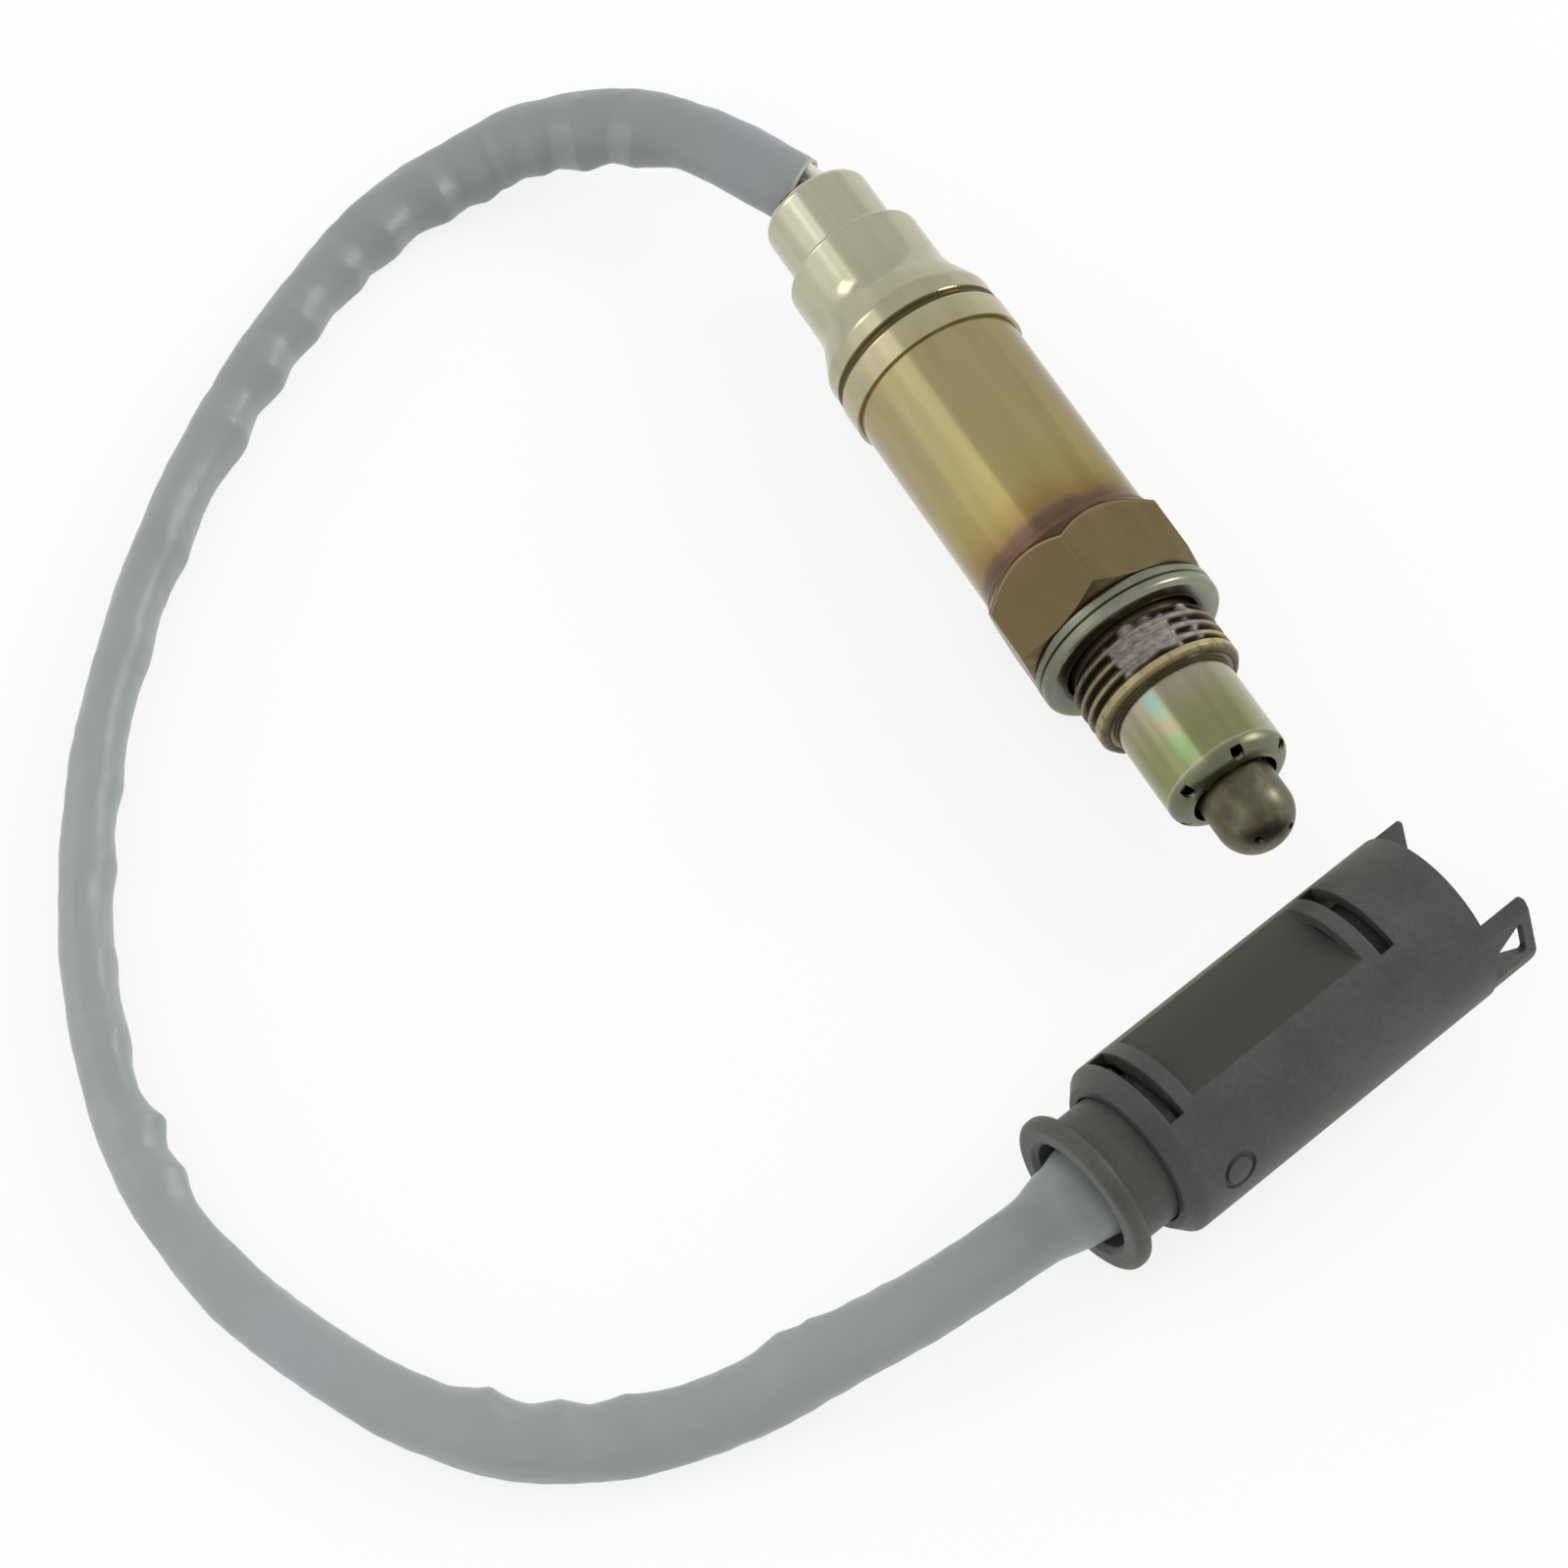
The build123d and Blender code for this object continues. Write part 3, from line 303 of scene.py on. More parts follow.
class Paint(Tree):
    """A procedural material round one principled shader, whose sockets are named with underscores."""

    def __init__(self, name, **sockets):
        self.material = bpy.data.materials.new(name)
        self.material.use_nodes = True
        super().__init__(self.material.node_tree)
        self.shader = self.nodes["Principled BSDF"]
        for socket, value in sockets.items():
            self.shader.inputs[socket.replace("_", " ")].default_value = value
        self.place = self.node("TexCoord").outputs["Object"]

    def in_mm(self, length):
        return self.math("MULTIPLY", length, 1 / MM)

    def noise(self, vector, scale, detail=3.0, rough=0.5):
        """A cloudy value from 0 to 1; scale is its steps to each unit of the vector."""
        node = self.node("TexNoise")
        sockets = {"Vector": vector, "Scale": scale, "Detail": detail, "Roughness": rough}
        for socket, value in sockets.items():
            self.feed(node.inputs[socket], value)
        return node.outputs[0]

    def drifted(self, value, cloud, reach):
        """A value moved up and down by a noise, half the reach either way."""
        return self.math("MULTIPLY_ADD", self.math("SUBTRACT", cloud, 0.5), reach, value)

    def within(self, value, low, high, soft):
        """1 between two limits and 0 outside, with soft edges."""
        rise = self.spread(value, low - soft, low + soft)
        fall = self.spread(value, high - soft, high + soft, 1.0, 0.0)
        return self.math("MULTIPLY", rise, fall)

    def ramp(self, share, *stops):
        """A colour by a share from 0 to 1, from (share, colour) stops."""
        node = self.node("ValToRGB", share)
        ramp = node.color_ramp
        while len(ramp.elements) < len(stops):
            ramp.elements.new(0.5)
        for element, (position, colour) in zip(ramp.elements, stops):
            element.position = position
            element.color = colour
        return node.outputs[0]

    def mix(self, share, first, second, blend="MIX"):
        """Two colours mixed; the node keeps other sockets for other kinds of value."""
        node = self.node("Mix", data_type="RGBA", blend_type=blend)
        for index, value in ((0, share), (6, first), (7, second)):
            self.feed(node.inputs[index], value)
        return node.outputs[2]

    def shaded(self, colour, shade):
        """A colour made darker or lighter by a factor."""
        return self.mix(1.0, colour, self.vector(shade, shade, shade), "MULTIPLY")

    def attribute(self, name):
        return self.node("Attribute", attribute_name=name).outputs["Fac"]

    def bump(self, height, depth):
        """Fine relief from a height of 0 to 1 and a depth in mm."""
        node = self.node("Bump")
        self.feed(node.inputs["Distance"], depth * MM)
        self.feed(node.inputs["Height"], height)
        self.feed(self.shader.inputs["Normal"], node.outputs[0])
        return node

    def colour(self, value):
        self.feed(self.shader.inputs["Base Color"], value)

    def roughness(self, value):
        self.feed(self.shader.inputs["Roughness"], value)

    def tint(self, share, colour):
        """Lays another colour over the base where share is 1."""
        base = self.shader.inputs["Base Color"].links[0].from_socket
        self.colour(self.mix(share, base, colour))

    def fade(self, value, start, end, strength, colour):
        """Lays another colour over the base: none of it at start and that strength of it at end."""
        self.tint(self.spread(value, start, end, 0.0, strength), colour)

    def unwrapped(self):
        """Station and way of a place on the sensor's skin."""
        x, y, z = self.axes(self.place)
        station = self.in_mm(self.math("SUBTRACT", x, SEAL_FACE))
        turn = self.math("ARCTAN2", y, self.math("SUBTRACT", z, AXIS_HEIGHT))
        return station, self.math("MULTIPLY", turn, WAY_RADIUS)

    def radius(self):
        """Distance from the sensor's axis, in mm."""
        _, y, z = self.axes(self.place)
        across = self.vector(y, self.math("SUBTRACT", z, AXIS_HEIGHT), 0.0)
        return self.in_mm(self.node("VectorMath", across, operation="LENGTH").outputs["Value"])

    def from_connector(self, direction):
        """How far a place lies from the connector's own place in a direction, in mm."""
        start = self.node("VectorMath", self.place, CONNECTOR_PLACE, operation="SUBTRACT").outputs[0]
        reach = self.node("VectorMath", start, direction, operation="DOT_PRODUCT")
        return self.in_mm(reach.outputs["Value"])


def turned_steel(name, tints, roughness, mottle=0.06, marks=0.002):
    """Turned steel whose colour runs along the sensor through (station, colour) tints."""
    paint = Paint(name, Roughness=roughness, Metallic=1.0)
    station, way = paint.unwrapped()
    drift = paint.drifted(station, paint.noise(paint.place, 260.0, 4.0), 2.5)
    drift = paint.drifted(drift, paint.noise(paint.place, 70.0, 2.0), 5.0)
    first, last = tints[0][0], tints[-1][0]
    stops = [((place - first) / (last - first), colour) for place, colour in tints]
    tint = paint.ramp(paint.spread(drift, first, last), *stops)
    # Streaks run along the sensor and turning marks round it: the noise is stretched that way.
    streak = paint.noise(paint.vector(paint.math("MULTIPLY", station, 0.12), way, 0.0), 0.5, 3.0)
    shade = paint.spread(streak, NOISE_LOW, NOISE_HIGH, 1.0 - mottle, 1.0 + mottle)
    paint.colour(paint.shaded(tint, shade))
    rings = paint.noise(paint.vector(station, paint.math("MULTIPLY", way, 0.02), 0.0), 9.0, 2.0)
    paint.roughness(paint.spread(rings, NOISE_LOW, NOISE_HIGH, roughness - 0.02, roughness + 0.04))
    paint.bump(rings, marks)
    return paint


def sleeve_steel():
    """Straw-coloured sleeve, brown and rosy where it meets the hexagon, with painted shade darkening it
    toward +Y.
    """
    tints = [(-44.6, srgb(161, 150, 110)), (-33, srgb(161, 150, 109)), (-24, srgb(163, 151, 103)),
             (-20.5, srgb(160, 146, 95)), (-18, srgb(154, 135, 85)), (-16, srgb(140, 118, 75)),
             (-15, srgb(112, 90, 75)), (-13.7, srgb(102, 81, 66))]
    paint = turned_steel("sleeve_steel", tints, roughness=0.17)
    _, way = paint.unwrapped()
    # Painted shade: the side toward +Y, away from the window, is darkened.
    paint.fade(way, 2.0, 8.0, 0.6, srgb(120, 106, 58))
    return paint.material


def crimp_steel():
    """Pale crimped sleeve with painted shade in its groove."""
    tints = [(-70, srgb(184, 183, 160)), (-57, srgb(181, 179, 154)), (-50, srgb(170, 167, 141)),
             (-44, srgb(176, 169, 138)), (-40, srgb(168, 160, 122))]
    paint = turned_steel("crimp_steel", tints, roughness=0.17, marks=0.001)
    station, _ = paint.unwrapped()
    # Painted shade in the crimped groove, a recess.
    paint.tint(paint.within(station, *GROOVE, 0.12), srgb(84, 76, 48))
    return paint.material


def hex_steel():
    """Brown hexagon with the rosy cone of its rear bevel, painted shade along the arcs where that cone
    meets the flats, a painted highlight just inside them, and painted shade on its near face.
    """
    tints = [(-13.7, srgb(126, 104, 86)), (-12.0, srgb(122, 102, 80)), (-11.0, srgb(116, 102, 74)),
             (-6, srgb(116, 102, 75)), (-3, srgb(112, 102, 74))]
    paint = turned_steel("hex_steel", tints, roughness=0.32, mottle=0.1)
    station, way = paint.unwrapped()
    # Painted shade on the near face, one side darkened for how light falls on it.
    shaded_face = paint.within(way, *HEX_SHADED_FACE, 0.2)
    paint.tint(paint.math("MULTIPLY", shaded_face, 0.6), srgb(92, 78, 54))
    turn = paint.math("MULTIPLY_ADD", way, 1 / WAY_RADIUS, -HEX_TURN)
    from_flat = paint.math("WRAP", turn, HALF_FLAT, -HALF_FLAT)
    flat_radius = paint.math("DIVIDE", HEX_HALF, paint.math("COSINE", from_flat))
    slope = (HEX_CORNER - HEX_HALF) / HEX_BEVEL
    cone_radius = paint.math("MULTIPLY_ADD", paint.math("SUBTRACT", station, HEX_REAR), slope, HEX_HALF)
    # mm by which the bevel's cone cuts below the flat: less than 0 on the flat, 0 along the arc between
    cut = paint.math("SUBTRACT", flat_radius, cone_radius)
    paint.fade(cut, 0.0, 0.1, 0.75, srgb(102, 78, 62))
    # Painted highlight on the flat just inside the bevel's arc, then painted shade along that arc.
    paint.tint(paint.within(cut, -0.32, -0.12, 0.1), srgb(138, 122, 78))
    paint.tint(paint.within(cut, -0.07, 0.24, 0.08), srgb(68, 47, 32))
    return paint.material


def seal_steel():
    """Folded ring, darker toward its bore as painted shade where the thread meets it, and darker toward
    -Y.
    """
    tints = [(-3, srgb(124, 125, 108)), (0, srgb(140, 141, 124))]
    paint = turned_steel("seal_steel", tints, roughness=0.3)
    _, way = paint.unwrapped()
    # Painted shade toward the bore, where the ring meets the thread.
    paint.fade(paint.radius(), 10.6, 8.8, 0.8, srgb(74, 74, 58))
    paint.fade(way, -5.0, -12.0, 0.5, srgb(80, 80, 64))
    return paint.material


def thread_steel():
    """Thread, dark in its roots and golden on its crests as painted shade and highlight, with a patch of
    grey paste, and painted shade near the seal and toward -Y.
    """
    paint = Paint("thread_steel", Roughness=0.4, Metallic=1.0)
    station, way = paint.unwrapped()
    paste = paint.attribute("paste")
    grime = paint.noise(paint.place, 900.0, 5.0, 0.6)
    # Painted shade in the roots and painted highlight on the crests: the colour follows the thread's
    # height.
    steel = paint.ramp(paint.attribute("crest"), (0.0, srgb(78, 66, 44)), (0.6, srgb(92, 80, 54)),
                       (0.9, srgb(142, 126, 86)), (1.0, srgb(170, 156, 110)))
    # Painted shade next to the seal and on the side toward -Y, deeper on the front land.
    near_seal = paint.spread(station, 1.5, 6.2, 0.34, 1.0)
    dark_side = paint.spread(way, -10.0, 0.0, paint.spread(station, 7.5, 9.0, 0.8, 0.55), 1.0)
    steel = paint.shaded(steel, paint.math("MULTIPLY", near_seal, dark_side))
    steel = paint.mix(paint.spread(grime, 0.5, 0.8), steel, srgb(56, 48, 38))
    smear = paint.noise(paint.vector(paint.math("MULTIPLY", station, 1.6), way, 0.0), 0.8, 3.0)
    clay = paint.ramp(smear, (NOISE_LOW, srgb(108, 98, 90)), (0.5, srgb(134, 123, 117)),
                      (NOISE_HIGH, srgb(156, 146, 140)))
    # Painted shade on the paste toward -Y.
    clay = paint.shaded(clay, paint.spread(way, -7.0, 1.0, 0.7, 1.0))
    paint.colour(paint.mix(paste, steel, clay))
    paint.feed(paint.shader.inputs["Metallic"], paint.spread(paste, 0.2, 0.8, 0.6, 0.2))
    paint.roughness(paint.spread(grime, NOISE_LOW, NOISE_HIGH, 0.3, 0.5))
    paint.bump(paint.noise(paint.place, 700.0, 1.0), 0.03)
    return paint.material


def tube_steel():
    """Olive steel with a painted reflection as a rainbow streak, paler toward +Y as a painted
    reflection, and a smoky end with a painted highlight along its edge.
    """
    tints = [(5, srgb(130, 116, 92)), (8.0, srgb(154, 148, 128)), (11.5, srgb(144, 142, 108)),
             (14, srgb(133, 137, 92)), (20.4, srgb(132, 136, 98))]
    paint = turned_steel("tube_steel", tints, roughness=0.18, mottle=0.1)
    station, way = paint.unwrapped()
    wobble = paint.noise(paint.place, 350.0, 3.0)
    shift = paint.math("MULTIPLY_ADD", wobble, 5.0, station)
    # Painted reflection: a streak in rainbow colours.
    reflected_rainbow = paint.ramp(paint.spread(shift, 9.0, 22.0), (0.0, srgb(160, 160, 140)),
                         (0.22, srgb(128, 176, 166)), (0.36, srgb(156, 182, 158)),
                         (0.5, srgb(192, 166, 148)), (0.62, srgb(146, 182, 128)),
                         (0.8, srgb(130, 170, 118)), (1.0, srgb(138, 142, 104)))
    from_streak = paint.math("ABSOLUTE", paint.math("SUBTRACT", way, STREAK_WAY))
    paint.fade(from_streak, *STREAK_HALF, 0.7, reflected_rainbow)
    # Painted reflection, paler toward the +Y edge.
    paint.fade(way, 4.5, 8.0, 0.6, srgb(172, 172, 152))
    smoke = paint.math("MULTIPLY_ADD", wobble, 0.5, station)
    paint.fade(smoke, SMOKE_EDGE, SMOKE_EDGE + 0.6, 0.85, srgb(106, 107, 88))
    # Painted highlight: a light line along the edge of the smoky end.
    paint.tint(paint.within(smoke, SMOKE_EDGE - 0.15, SMOKE_EDGE + 0.1, 0.12), srgb(158, 156, 136))
    paint.roughness(paint.spread(smoke, SMOKE_EDGE - 0.1, SMOKE_EDGE + 0.7, 0.18, 0.36))
    return paint.material


def dome_steel():
    """Smoked inner tube, blotchy brown and olive."""
    tints = [(6, srgb(84, 82, 66)), (23, srgb(92, 90, 70)), (28.2, srgb(102, 98, 80))]
    paint = turned_steel("dome_steel", tints, roughness=0.38, mottle=0.14)
    blotch = paint.noise(paint.place, 330.0, 3.0)
    paint.fade(blotch, 0.5, 0.66, 0.6, srgb(74, 64, 48))
    paint.fade(blotch, 0.46, 0.34, 0.5, srgb(126, 124, 104))
    return paint.material


def plain_metal(name, colour, roughness):
    """Metal of the small parts inside, slightly uneven."""
    paint = Paint(name, Roughness=roughness, Metallic=1.0)
    cloud = paint.noise(paint.place, 400.0, 3.0)
    paint.colour(paint.ramp(cloud, (NOISE_LOW, scaled(colour, 0.8, 0.8, 0.8)), (NOISE_HIGH, colour)))
    return paint.material


def plain_matte(name, colour, roughness, grain=700.0, depth=0.01):
    """Ceramic, rubber or powder with a fine uneven skin; its depth is in mm."""
    paint = Paint(name, Roughness=roughness)
    cloud = paint.noise(paint.place, grain, 4.0)
    paint.colour(paint.ramp(cloud, (NOISE_LOW, scaled(colour, 0.85, 0.85, 0.85)), (NOISE_HIGH, colour)))
    paint.bump(cloud, depth)
    return paint.material


def moulded_plastic(name, colour, flats=False):
    """Charcoal moulding with spark-eroded grain, a painted sheen paler on its flanks, and painted shade
    darkening its squeeze flats.
    """
    paint = Paint(name, Roughness=0.5, Specular_IOR_Level=0.4)
    cloud = paint.noise(paint.place, 110.0, 5.0, 0.65)
    dust = paint.noise(paint.place, 1400.0, 3.0)
    grain = paint.noise(paint.place, 5200.0, 2.0)
    blend = paint.drifted(cloud, dust, 0.5)
    paint.colour(paint.ramp(blend, (NOISE_LOW, colour), (NOISE_HIGH, scaled(colour, 1.5, 1.5, 1.5))))
    if flats:
        # Painted shade on the recessed squeeze flats.
        height = paint.math("ABSOLUTE", paint.from_connector(FLAT_NORMAL))
        level = paint.within(height, FLAT_LEVEL - 0.04, FLAT_LEVEL + 0.04, 0.03)
        span = paint.within(paint.from_connector(CONNECTOR_AXIS), *FLAT_SPAN, 0.1)
        paint.tint(paint.math("MULTIPLY", level, span), scaled(colour, 0.72, 0.72, 0.62))
    # Painted sheen: grazing reflections of the room, paler and olive toward the flanks.
    sideways = paint.math("ABSOLUTE", paint.from_connector(FLANK_NORMAL))
    paint.fade(sideways, *FLANK_SHEEN, 0.6, srgb(72, 74, 56))
    paint.roughness(paint.spread(grain, 0.35, 0.65, 0.42, 0.56))
    rounded = paint.node("Bevel", EDGE_ROUND, samples=4)
    relief = paint.bump(grain, 0.012)
    paint.feed(relief.inputs["Normal"], rounded.outputs[0])
    return paint.material


def sheath_skin():
    """Soft grey sleeve, faintly glossy, with a hint of green and blue, paler where it is cut, and darker
    toward +Y as painted shade.
    """
    paint = Paint("sheath", Roughness=0.46, Coat_Weight=0.8, Coat_Roughness=0.5)
    cloud = paint.noise(paint.place, 45.0, 3.0)
    fine = paint.noise(paint.place, 600.0, 3.0)
    grey = paint.ramp(cloud, (NOISE_LOW, srgb(139, 148, 141)), (0.5, srgb(145, 152, 148)),
                      (NOISE_HIGH, srgb(149, 153, 156)))
    # Painted shade: the lead darkens away from the window, toward +Y.
    far_shade = paint.spread(paint.axes(paint.place)["Y"], *SHEATH_SHADE, 1.0, 0.76)
    paint.colour(paint.mix(paint.attribute("cut"), paint.shaded(grey, far_shade), srgb(176, 178, 160)))
    paint.roughness(paint.spread(fine, NOISE_LOW, NOISE_HIGH, 0.42, 0.5))
    paint.bump(fine, 0.015)
    return paint.material


def dress(pairs):
    """Gives CAD nodes their materials, from (material, node names) pairs."""
    for material, names in pairs:
        for name in names:
            for slot in NODES[name].material_slots:
                slot.material = material


# ---------------------------------------------------------------- meshes

def shown(name, mesh, material):
    """A new object from a mesh, riding on the part."""
    mesh.materials.append(material)
    piece = bpy.data.objects.new(name, mesh)
    bpy.context.scene.collection.objects.link(piece)
    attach(piece, "root")
    return piece


def tube_mesh(name, rings, hoop=False):
    """A smooth closed mesh through rings of as many points each: a hoop, or with a fan at either end."""
    count, sides = len(rings), len(rings[0])
    points = [point for ring in rings for point in ring]
    faces = []
    for row in range(count if hoop else count - 1):
        first, second = row * sides, (row + 1) % count * sides
        for side in range(sides):
            after = (side + 1) % sides
            faces.append((first + side, first + after, second + after, second + side))
    for row in () if hoop else (0, count - 1):
        centre = len(points)
        points.append(sum(rings[row], Vector()) / sides)
        for side in range(sides):
            corner, after = row * sides + side, row * sides + (side + 1) % sides
            faces.append((corner, after, centre) if row else (after, corner, centre))
    mesh = bpy.data.meshes.new(name)
    mesh.from_pydata(points, [], faces)
    mesh.polygons.foreach_set("use_smooth", [True] * len(mesh.polygons))
    return mesh


def set_attribute(mesh, name, values):
    layer = mesh.attributes.new(name, "FLOAT", "POINT")
    layer.data.foreach_set("value", values)


# ---------------------------------------------------------------- the lead

def lead_line():
    """Points on the lead's smooth centreline."""
    curve = bpy.data.curves.new("lead_line", "CURVE")
    curve.dimensions = "3D"
    spline = curve.splines.new("NURBS")
    spline.points.add(len(ROUTE) - 1)
    for point, place in zip(spline.points, ROUTE):
        point.co = (*place, 1.0)
    spline.order_u = 3
    spline.use_endpoint_u = True
    spline.resolution_u = 40
    carrier = bpy.data.objects.new("lead_line", curve)
    line = bpy.data.meshes.new_from_object(carrier)
    points = [vertex.co.copy() for vertex in line.vertices]
    bpy.data.objects.remove(carrier)
    return points


def lead_frames(points):
    """(distance, point, inward, upward) along the line; inward is toward the middle of the loop."""
    frames = []
    distance = 0.0
    for index, point in enumerate(points):
        before, after = points[max(index - 1, 0)], points[min(index + 1, len(points) - 1)]
        tangent = (after - before).normalized()
        inward = UP.cross(tangent).normalized()
        frames.append((distance, point, inward, tangent.cross(inward)))
        if index + 1 < len(points):
            distance += (points[index + 1] - point).length
    return frames


def fold_height(distance, angle):
    """How far the sheath's folds stand out, in mm: sharp on the inner side and soft away from it."""
    side = (1 + math.cos(angle - FOLD_SIDE)) / 2
    blunt = FOLD_BLUNT + FOLD_SOFTEN * max(0.0, FOLD_CORE - side)
    height = 0.0
    for place, peak, length in FOLDS:
        share = 1 + blunt - math.hypot((distance - place) / length, blunt)
        share = min(share, 1.0) - blunt * FOLD_LOSS
        if share > 0:
            height = max(height, peak * share * share)
    return FOLD_GAIN * height * side ** FOLD_FADE - FOLD_SINK * side


def squared(value):
    """The cosine or sine of an angle, drawn from a circle's toward a square's."""
    return math.copysign(abs(value) ** SHEATH_SQUARE, value)


def sheath_point(place, angle, shrink):
    """A point of the sheath's section; its skin is drawn in by shrink."""
    distance, point, inward, upward = place
    mm = distance / MM
    inner, upper = math.cos(angle), math.sin(angle)
    width, height = along(SHEATH_WIDTH, mm), along(SHEATH_HEIGHT, mm)
    wave = SHEATH_WAVE[0] * noise.noise(Vector((mm * SHEATH_WAVE[1], inner, upper)))
    place_on_ripple = Vector((mm * SHEATH_RIPPLE[1], 2 * inner + 9, 2 * upper))
    ripple = SHEATH_RIPPLE[0] * noise.noise(place_on_ripple)
    swell = (fold_height(mm, angle) + wave + ripple) * MM - shrink
    offset = inward * (squared(inner) * (width * MM + swell))
    offset += upward * (squared(upper) * (height * MM + swell))
    reach = MOUTH_REACH[1] + (MOUTH_REACH[0] - MOUTH_REACH[1]) * (1 + inner) / 2
    offset += inward.cross(upward) * (-reach * MM * (1 - smooth(mm, 0, MOUTH_SLANT)))
    resting = 1 - smooth(point.z, *LIFT_HEIGHTS)
    drop = resting * (point.z - height * MM - FLOOR_CLEARANCE)
    result = point - UP * drop + offset
    result.z = max(result.z, FLOOR_CLEARANCE + shrink)
    return result


def sheath_rings(places, shrink=0.0):
    """The sheath's section at each place along it."""
    return [[sheath_point(place, angle, shrink) for angle in angles_round(SHEATH_SIDES)]
            for place in places]


def sheath():
    """The sleeve round the wires: oval, folded on the inner side of its bends and hollow at its ends."""
    points = lead_line()
    frames = lead_frames(points)
    total = frames[-1][0]
    near = [place for place in frames if place[0] <= SHEATH_MOUTH]
    far = [place for place in frames if place[0] >= total - SHEATH_MOUTH]
    inside = sheath_rings(reversed(near), SHEATH_WALL)
    outside = sheath_rings(frames)
    inside_far = sheath_rings(reversed(far), SHEATH_WALL)
    mesh = tube_mesh("lead_sheath", inside + outside + inside_far)
    first, last = len(inside), len(inside) + len(outside) - 1
    cut_rows = (first - 1, first, last, last + 1)
    cut = [float(index // SHEATH_SIDES in cut_rows) for index in range(len(mesh.vertices))]
    set_attribute(mesh, "cut", cut)
    piece = shown("lead_sheath", mesh, sheath_skin())
    # Without this the steel mirrors the lead as a dark line, which the photo doesn't show.
    piece.visible_glossy = False
    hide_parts("cable_sheath")
    return piece, points, frames


def wires_inside(frames):
    """The four wires on from where the sheath's mouth takes them in."""
    pieces = []
    run = [place for place in frames if place[0] <= SHEATH_MOUTH + WIRE_LAP]
    for node, slot, inner, upper in WIRES:
        rings = []
        for distance, point, inward, upward in run:
            offset = WIRE_OFFSET * (1 - WIRE_GATHER * smooth(distance, 0, SHEATH_MOUTH))
            centre = point - inward * (inner * offset) + upward * (upper * offset)
            rings.append([centre + (inward * math.cos(angle) + upward * math.sin(angle)) * WIRE_RADIUS
                          for angle in angles_round(WIRE_SIDES)])
        mesh = tube_mesh(node + "_inside", rings)
        piece = shown(node + "_inside", mesh, NODES[node].material_slots[0].material)
        pieces.append(piece)
    return pieces


# ---------------------------------------------------------------- thread and hexagon

def thread_radius(station, turn):
    """Radius of the thread in mm, with its run-in, plain land and bevel."""
    phase = (station / THREAD_PITCH - turn / (2 * math.pi)) % 1.0
    from_crest = abs(phase - 0.5) * 2
    depth = (THREAD_CREST - THREAD_ROOT) * smooth(from_crest, *THREAD_FLANK)
    plain = THREAD_STOP - THREAD_PLAIN
    land = smooth(station, plain + LAND_EDGE[0], plain + LAND_EDGE[1])
    radius = THREAD_CREST - depth * (1 - land)
    run_in = THREAD_ROOT + THREAD_RUN_IN[0] + (station - THREAD_START) * THREAD_RUN_IN[1]
    bevel = THREAD_CREST - THREAD_BEVEL[1] * max(0.0, station - THREAD_STOP + THREAD_BEVEL[0])
    return min(radius, run_in, bevel)


def paste_share(station, turn, height):
    """How much paste lies on the thread, from 0 to 1; it fills the valleys but for a row of holes."""
    away = abs(turn - PASTE_TURN) / PASTE_SPREAD
    edge = abs(station - PASTE_STATION) / PASTE_REACH
    ragged = PASTE_RAGGED * noise.noise(Vector((station * 0.7, turn * 4.5, 3.0)))
    share = smooth(1.0 - max(away, edge) + ragged, *PASTE_EDGE)
    hole = max(0.0, 1 - abs(turn - PASTE_HOLES) / PASTE_TEAR) * TEAR_STEEP
    return share * (1 - min(hole, 1.0) * (1 - smooth(height, *TEAR_HEIGHT)))


def skin_point(station, turn, radius):
    """A point on the sensor's skin."""
    return Vector((SEAL_FACE + station * MM, radius * MM * math.sin(turn),
                   AXIS_HEIGHT + radius * MM * math.cos(turn)))


def thread():
    """A real thread with its paste, as a sleeve round the shank's core."""
    length = THREAD_STOP - THREAD_START
    turns = [math.pi - angle for angle in angles_round(THREAD_STEPS)]
    rings, crest, paste = [], [], []
    for row in range(THREAD_ROWS):
        station = THREAD_START + length * row / (THREAD_ROWS - 1)
        ring = []
        for turn in turns:
            radius = thread_radius(station, turn)
            height = (radius - THREAD_ROOT) / (THREAD_CREST - THREAD_ROOT)
            share = paste_share(station, turn, height)
            lumps = PASTE_LUMPS * noise.noise(Vector((station * 0.6, turn * 3, 0)))
            level = THREAD_CREST - PASTE_DEPTH + lumps - PASTE_SAG * (1 - height)
            crest.append(height)
            paste.append(share)
            ring.append(skin_point(station, turn, radius + max(0.0, level - radius) * share))
        rings.append(ring)
    for station in (THREAD_STOP, THREAD_START):
        rings.append([skin_point(station, turn, CORE_RADIUS - SLEEVE_LAP) for turn in turns])
    mesh = tube_mesh("thread", rings, hoop=True)
    hidden = [0.0] * (2 * THREAD_STEPS)
    set_attribute(mesh, "crest", crest + hidden)
    set_attribute(mesh, "paste", paste + hidden)
    piece = shown("thread", mesh, thread_steel())


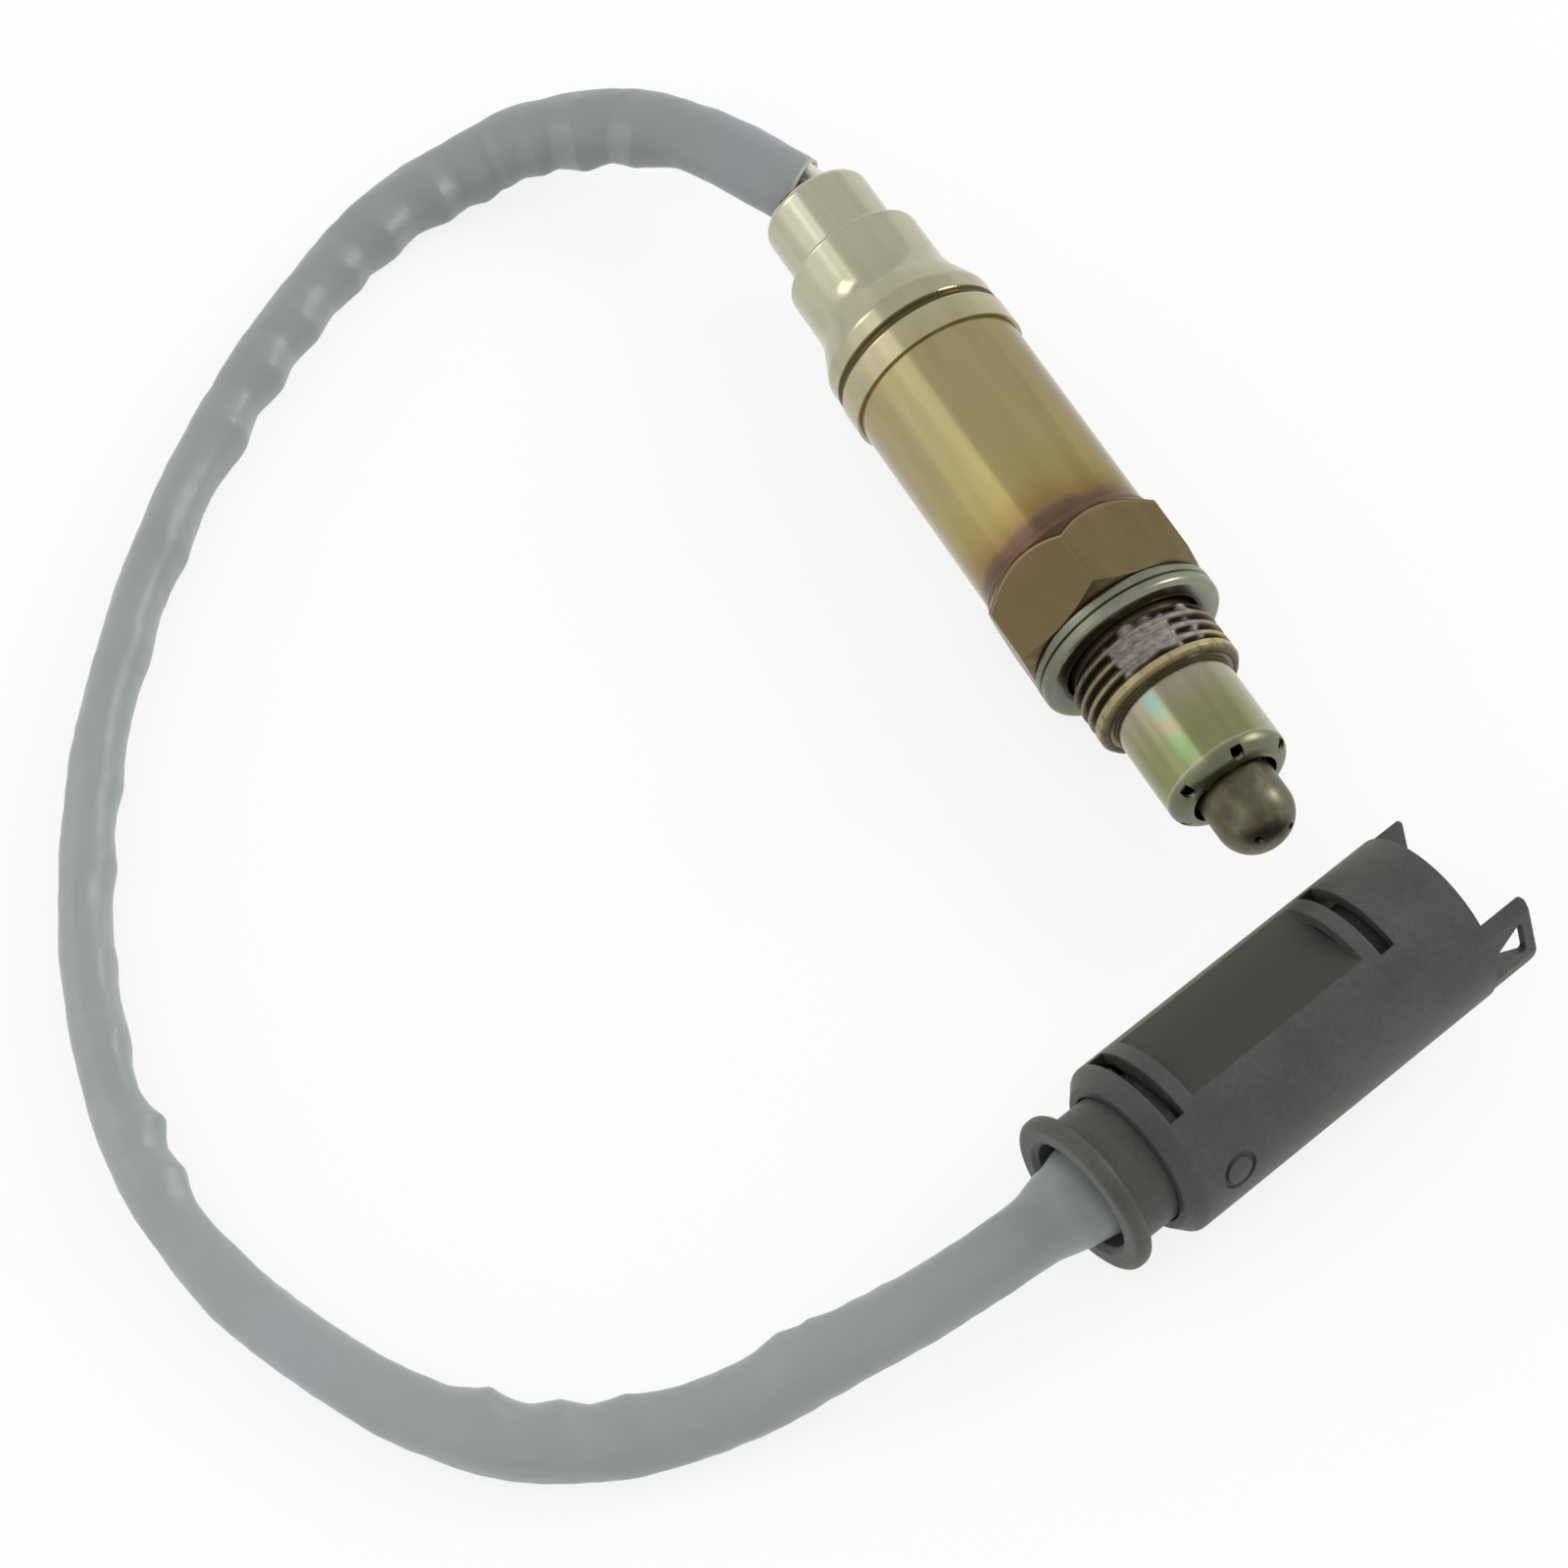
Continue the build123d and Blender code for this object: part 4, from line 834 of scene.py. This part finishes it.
def hexagon():
    """The CAD body, its shank cut down to the thread's core and the hexagon's rear bevel longer."""
    mesh = NODES["sensor_housing"].data.copy()
    for vertex in mesh.vertices:
        station = (vertex.co.x - SEAL_FACE) / MM
        away = Vector((0, vertex.co.y, vertex.co.z - AXIS_HEIGHT))
        if station > THREAD_START - CORE_SLACK and away.length > CORE_RADIUS * MM:
            away.length = CORE_RADIUS * MM
            vertex.co.y, vertex.co.z = away.y, away.z + AXIS_HEIGHT
        back = station - HEX_REAR
        on_bevel = FACE_SLACK < back < PLAIN_BEVEL + HEX_SLACK
        if on_bevel and away.length > (HEX_HALF - HEX_SLACK) * MM:
            vertex.co.x = SEAL_FACE + (HEX_REAR + back * HEX_BEVEL / PLAIN_BEVEL) * MM
    mesh.materials.clear()
    piece = shown("hexagon_body", mesh, hex_steel())
    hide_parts("sensor_housing")


# ---------------------------------------------------------------- stage

def camera():
    data = bpy.data.cameras.new("camera")
    data.lens = CAMERA_LENS
    data.sensor_width = CAMERA_SENSOR
    data.clip_start = 0.01
    holder = bpy.data.objects.new("camera", data)
    holder.location = CAMERA_PLACE
    holder.rotation_euler = (math.radians(CAMERA_TILT), 0, math.radians(CAMERA_AZIMUTH))
    bpy.context.scene.collection.objects.link(holder)
    bpy.context.scene.camera = holder


def world():
    """White walls and a slightly greyer ceiling where they are seen, and even light on the object."""
    studio = bpy.data.worlds.new("studio")
    bpy.context.scene.world = studio
    studio.use_nodes = True
    tree = Tree(studio.node_tree)
    tree.nodes.remove(tree.nodes["Background"])
    direction = tree.node("TexCoord").outputs["Generated"]
    walls = tree.spread(tree.axes(direction)["Z"], *WALL_TOP, 1.0, OVERHEAD)
    seen = tree.node("Background", WHITE, walls)
    light = tree.node("Background", WHITE, AMBIENT)
    shader = tree.mixed_shaders(tree.seen_directly(), light.outputs[0], seen.outputs[0])
    tree.feed(tree.nodes["World Output"].inputs["Surface"], shader)


def floor():
    """Plain pale floor that keeps a soft shadow."""
    material = bpy.data.materials.new("floor")
    material.use_nodes = True
    tree = Tree(material.node_tree)
    tree.nodes.remove(tree.nodes["Principled BSDF"])
    matte = tree.node("BsdfDiffuse", (FLOOR_GREY, FLOOR_GREY, FLOOR_GREY, 1))
    white = tree.node("Emission", WHITE, 1.0)
    seen = tree.mixed_shaders(FLOOR_SHADOW, white.outputs[0], matte.outputs[0])
    shader = tree.mixed_shaders(tree.seen_directly(), matte.outputs[0], seen)
    tree.feed(tree.nodes["Material Output"].inputs["Surface"], shader)
    corners = [(FLOOR_REACH * x, FLOOR_REACH * y, 0) for x, y in ((-1, -1), (1, -1), (1, 1), (-1, 1))]
    mesh = bpy.data.meshes.new("floor")
    mesh.from_pydata(corners, [], [(0, 1, 2, 3)])
    mesh.materials.append(material)
    plane = bpy.data.objects.new("floor", mesh)
    bpy.context.scene.collection.objects.link(plane)


def lamp(name, direction, distance, size, radiance, target):
    """A soft rectangular lamp in a direction from its target, aimed back at it."""
    light = bpy.data.lights.new(name, "AREA")
    light.shape = "RECTANGLE"
    light.size, light.size_y = size
    light.energy = radiance * math.pi * size[0] * size[1]
    holder = bpy.data.objects.new(name, light)
    away = Vector(direction).normalized()
    holder.location = Vector(target) + away * distance
    holder.rotation_euler = away.to_track_quat("Z", "Y").to_euler()
    bpy.context.scene.collection.objects.link(holder)
    return light


def window():
    """A broad soft light at the part's near side, brightest along its upper edge."""
    away = (0, -math.cos(WINDOW_TILT), math.sin(WINDOW_TILT))
    light = lamp("window", away, WINDOW_DISTANCE, WINDOW_SIZE, radiance=1.0,
                 target=(WINDOW_SHIFT, 0, AXIS_HEIGHT))
    light.use_nodes = True
    tree = Tree(light.node_tree)
    height = tree.axes(tree.node("NewGeometry").outputs["Position"])["Z"]
    top = WINDOW_SIZE[1] * math.cos(WINDOW_TILT)
    tree.feed(tree.nodes["Emission"].inputs["Strength"], tree.spread(height, 0.0, top, *WINDOW_GLOW))


# ---------------------------------------------------------------- the scene

camera()
world()
floor()
window()
lamp("side_lamp", (0.0, 0.83, 0.555), distance=0.9, size=(0.32, 0.32), radiance=8.5,
     target=(0.02, 0, 0))
lamp("back_lamp", (-0.72, -0.56, 0.42), distance=0.9, size=(0.3, 0.3), radiance=1.7,
     target=(-0.03, -0.08, 0))
bpy.context.scene.view_settings.view_transform = "Standard"

dress([
    (seal_steel(), ["seal_ring"]),
    (tube_steel(), ["outer_protection_tube"]),
    (dome_steel(), ["inner_protection_tube"]),
    (sleeve_steel(), ["protective_sleeve"]),
    (crimp_steel(), ["crimp_sleeve"]),
    (plain_metal("spring_steel", srgb(190, 188, 184), 0.3), ["disc_spring", "element_seal"]),
    (plain_metal("contact_metal", srgb(214, 196, 150), 0.3),
     ["signal_contact", "ground_contact", "heater_contact_a", "heater_contact_b",
      "contact_pin_1", "contact_pin_2", "contact_pin_3", "contact_pin_4"]),
    (plain_matte("zirconia", srgb(238, 234, 222), 0.4), ["sensing_element"]),
    (plain_matte("heater_ceramic", srgb(224, 220, 210), 0.5), ["heater_rod"]),
    (plain_matte("insulator_ceramic", srgb(236, 228, 208), 0.5), ["support_bush", "terminal_insulator"]),
    (plain_matte("powder", srgb(196, 196, 188), 0.9, grain=1500.0, depth=0.05), ["powder_packing"]),
    (plain_matte("grommet_polymer", srgb(40, 40, 40), 0.6), ["cable_grommet"]),
    (plain_matte("seal_rubber", srgb(44, 44, 44), 0.6), ["wire_seal"]),
    (plain_matte("wire_white", srgb(228, 228, 216), 0.4), ["wire_heater_a", "wire_heater_b"]),
    (plain_matte("wire_black", srgb(40, 40, 40), 0.4), ["wire_signal"]),
    (plain_matte("wire_grey", srgb(96, 98, 98), 0.4), ["wire_ground"]),
    (moulded_plastic("connector_plastic", srgb(61, 61, 60), flats=True), ["connector_shell"]),
    (moulded_plastic("carrier_plastic", srgb(64, 64, 60)), ["contact_carrier"]),
])

sheath_piece, lead_points, lead_places = sheath()
thread()
hexagon()
inside_pieces = wires_inside(lead_places)
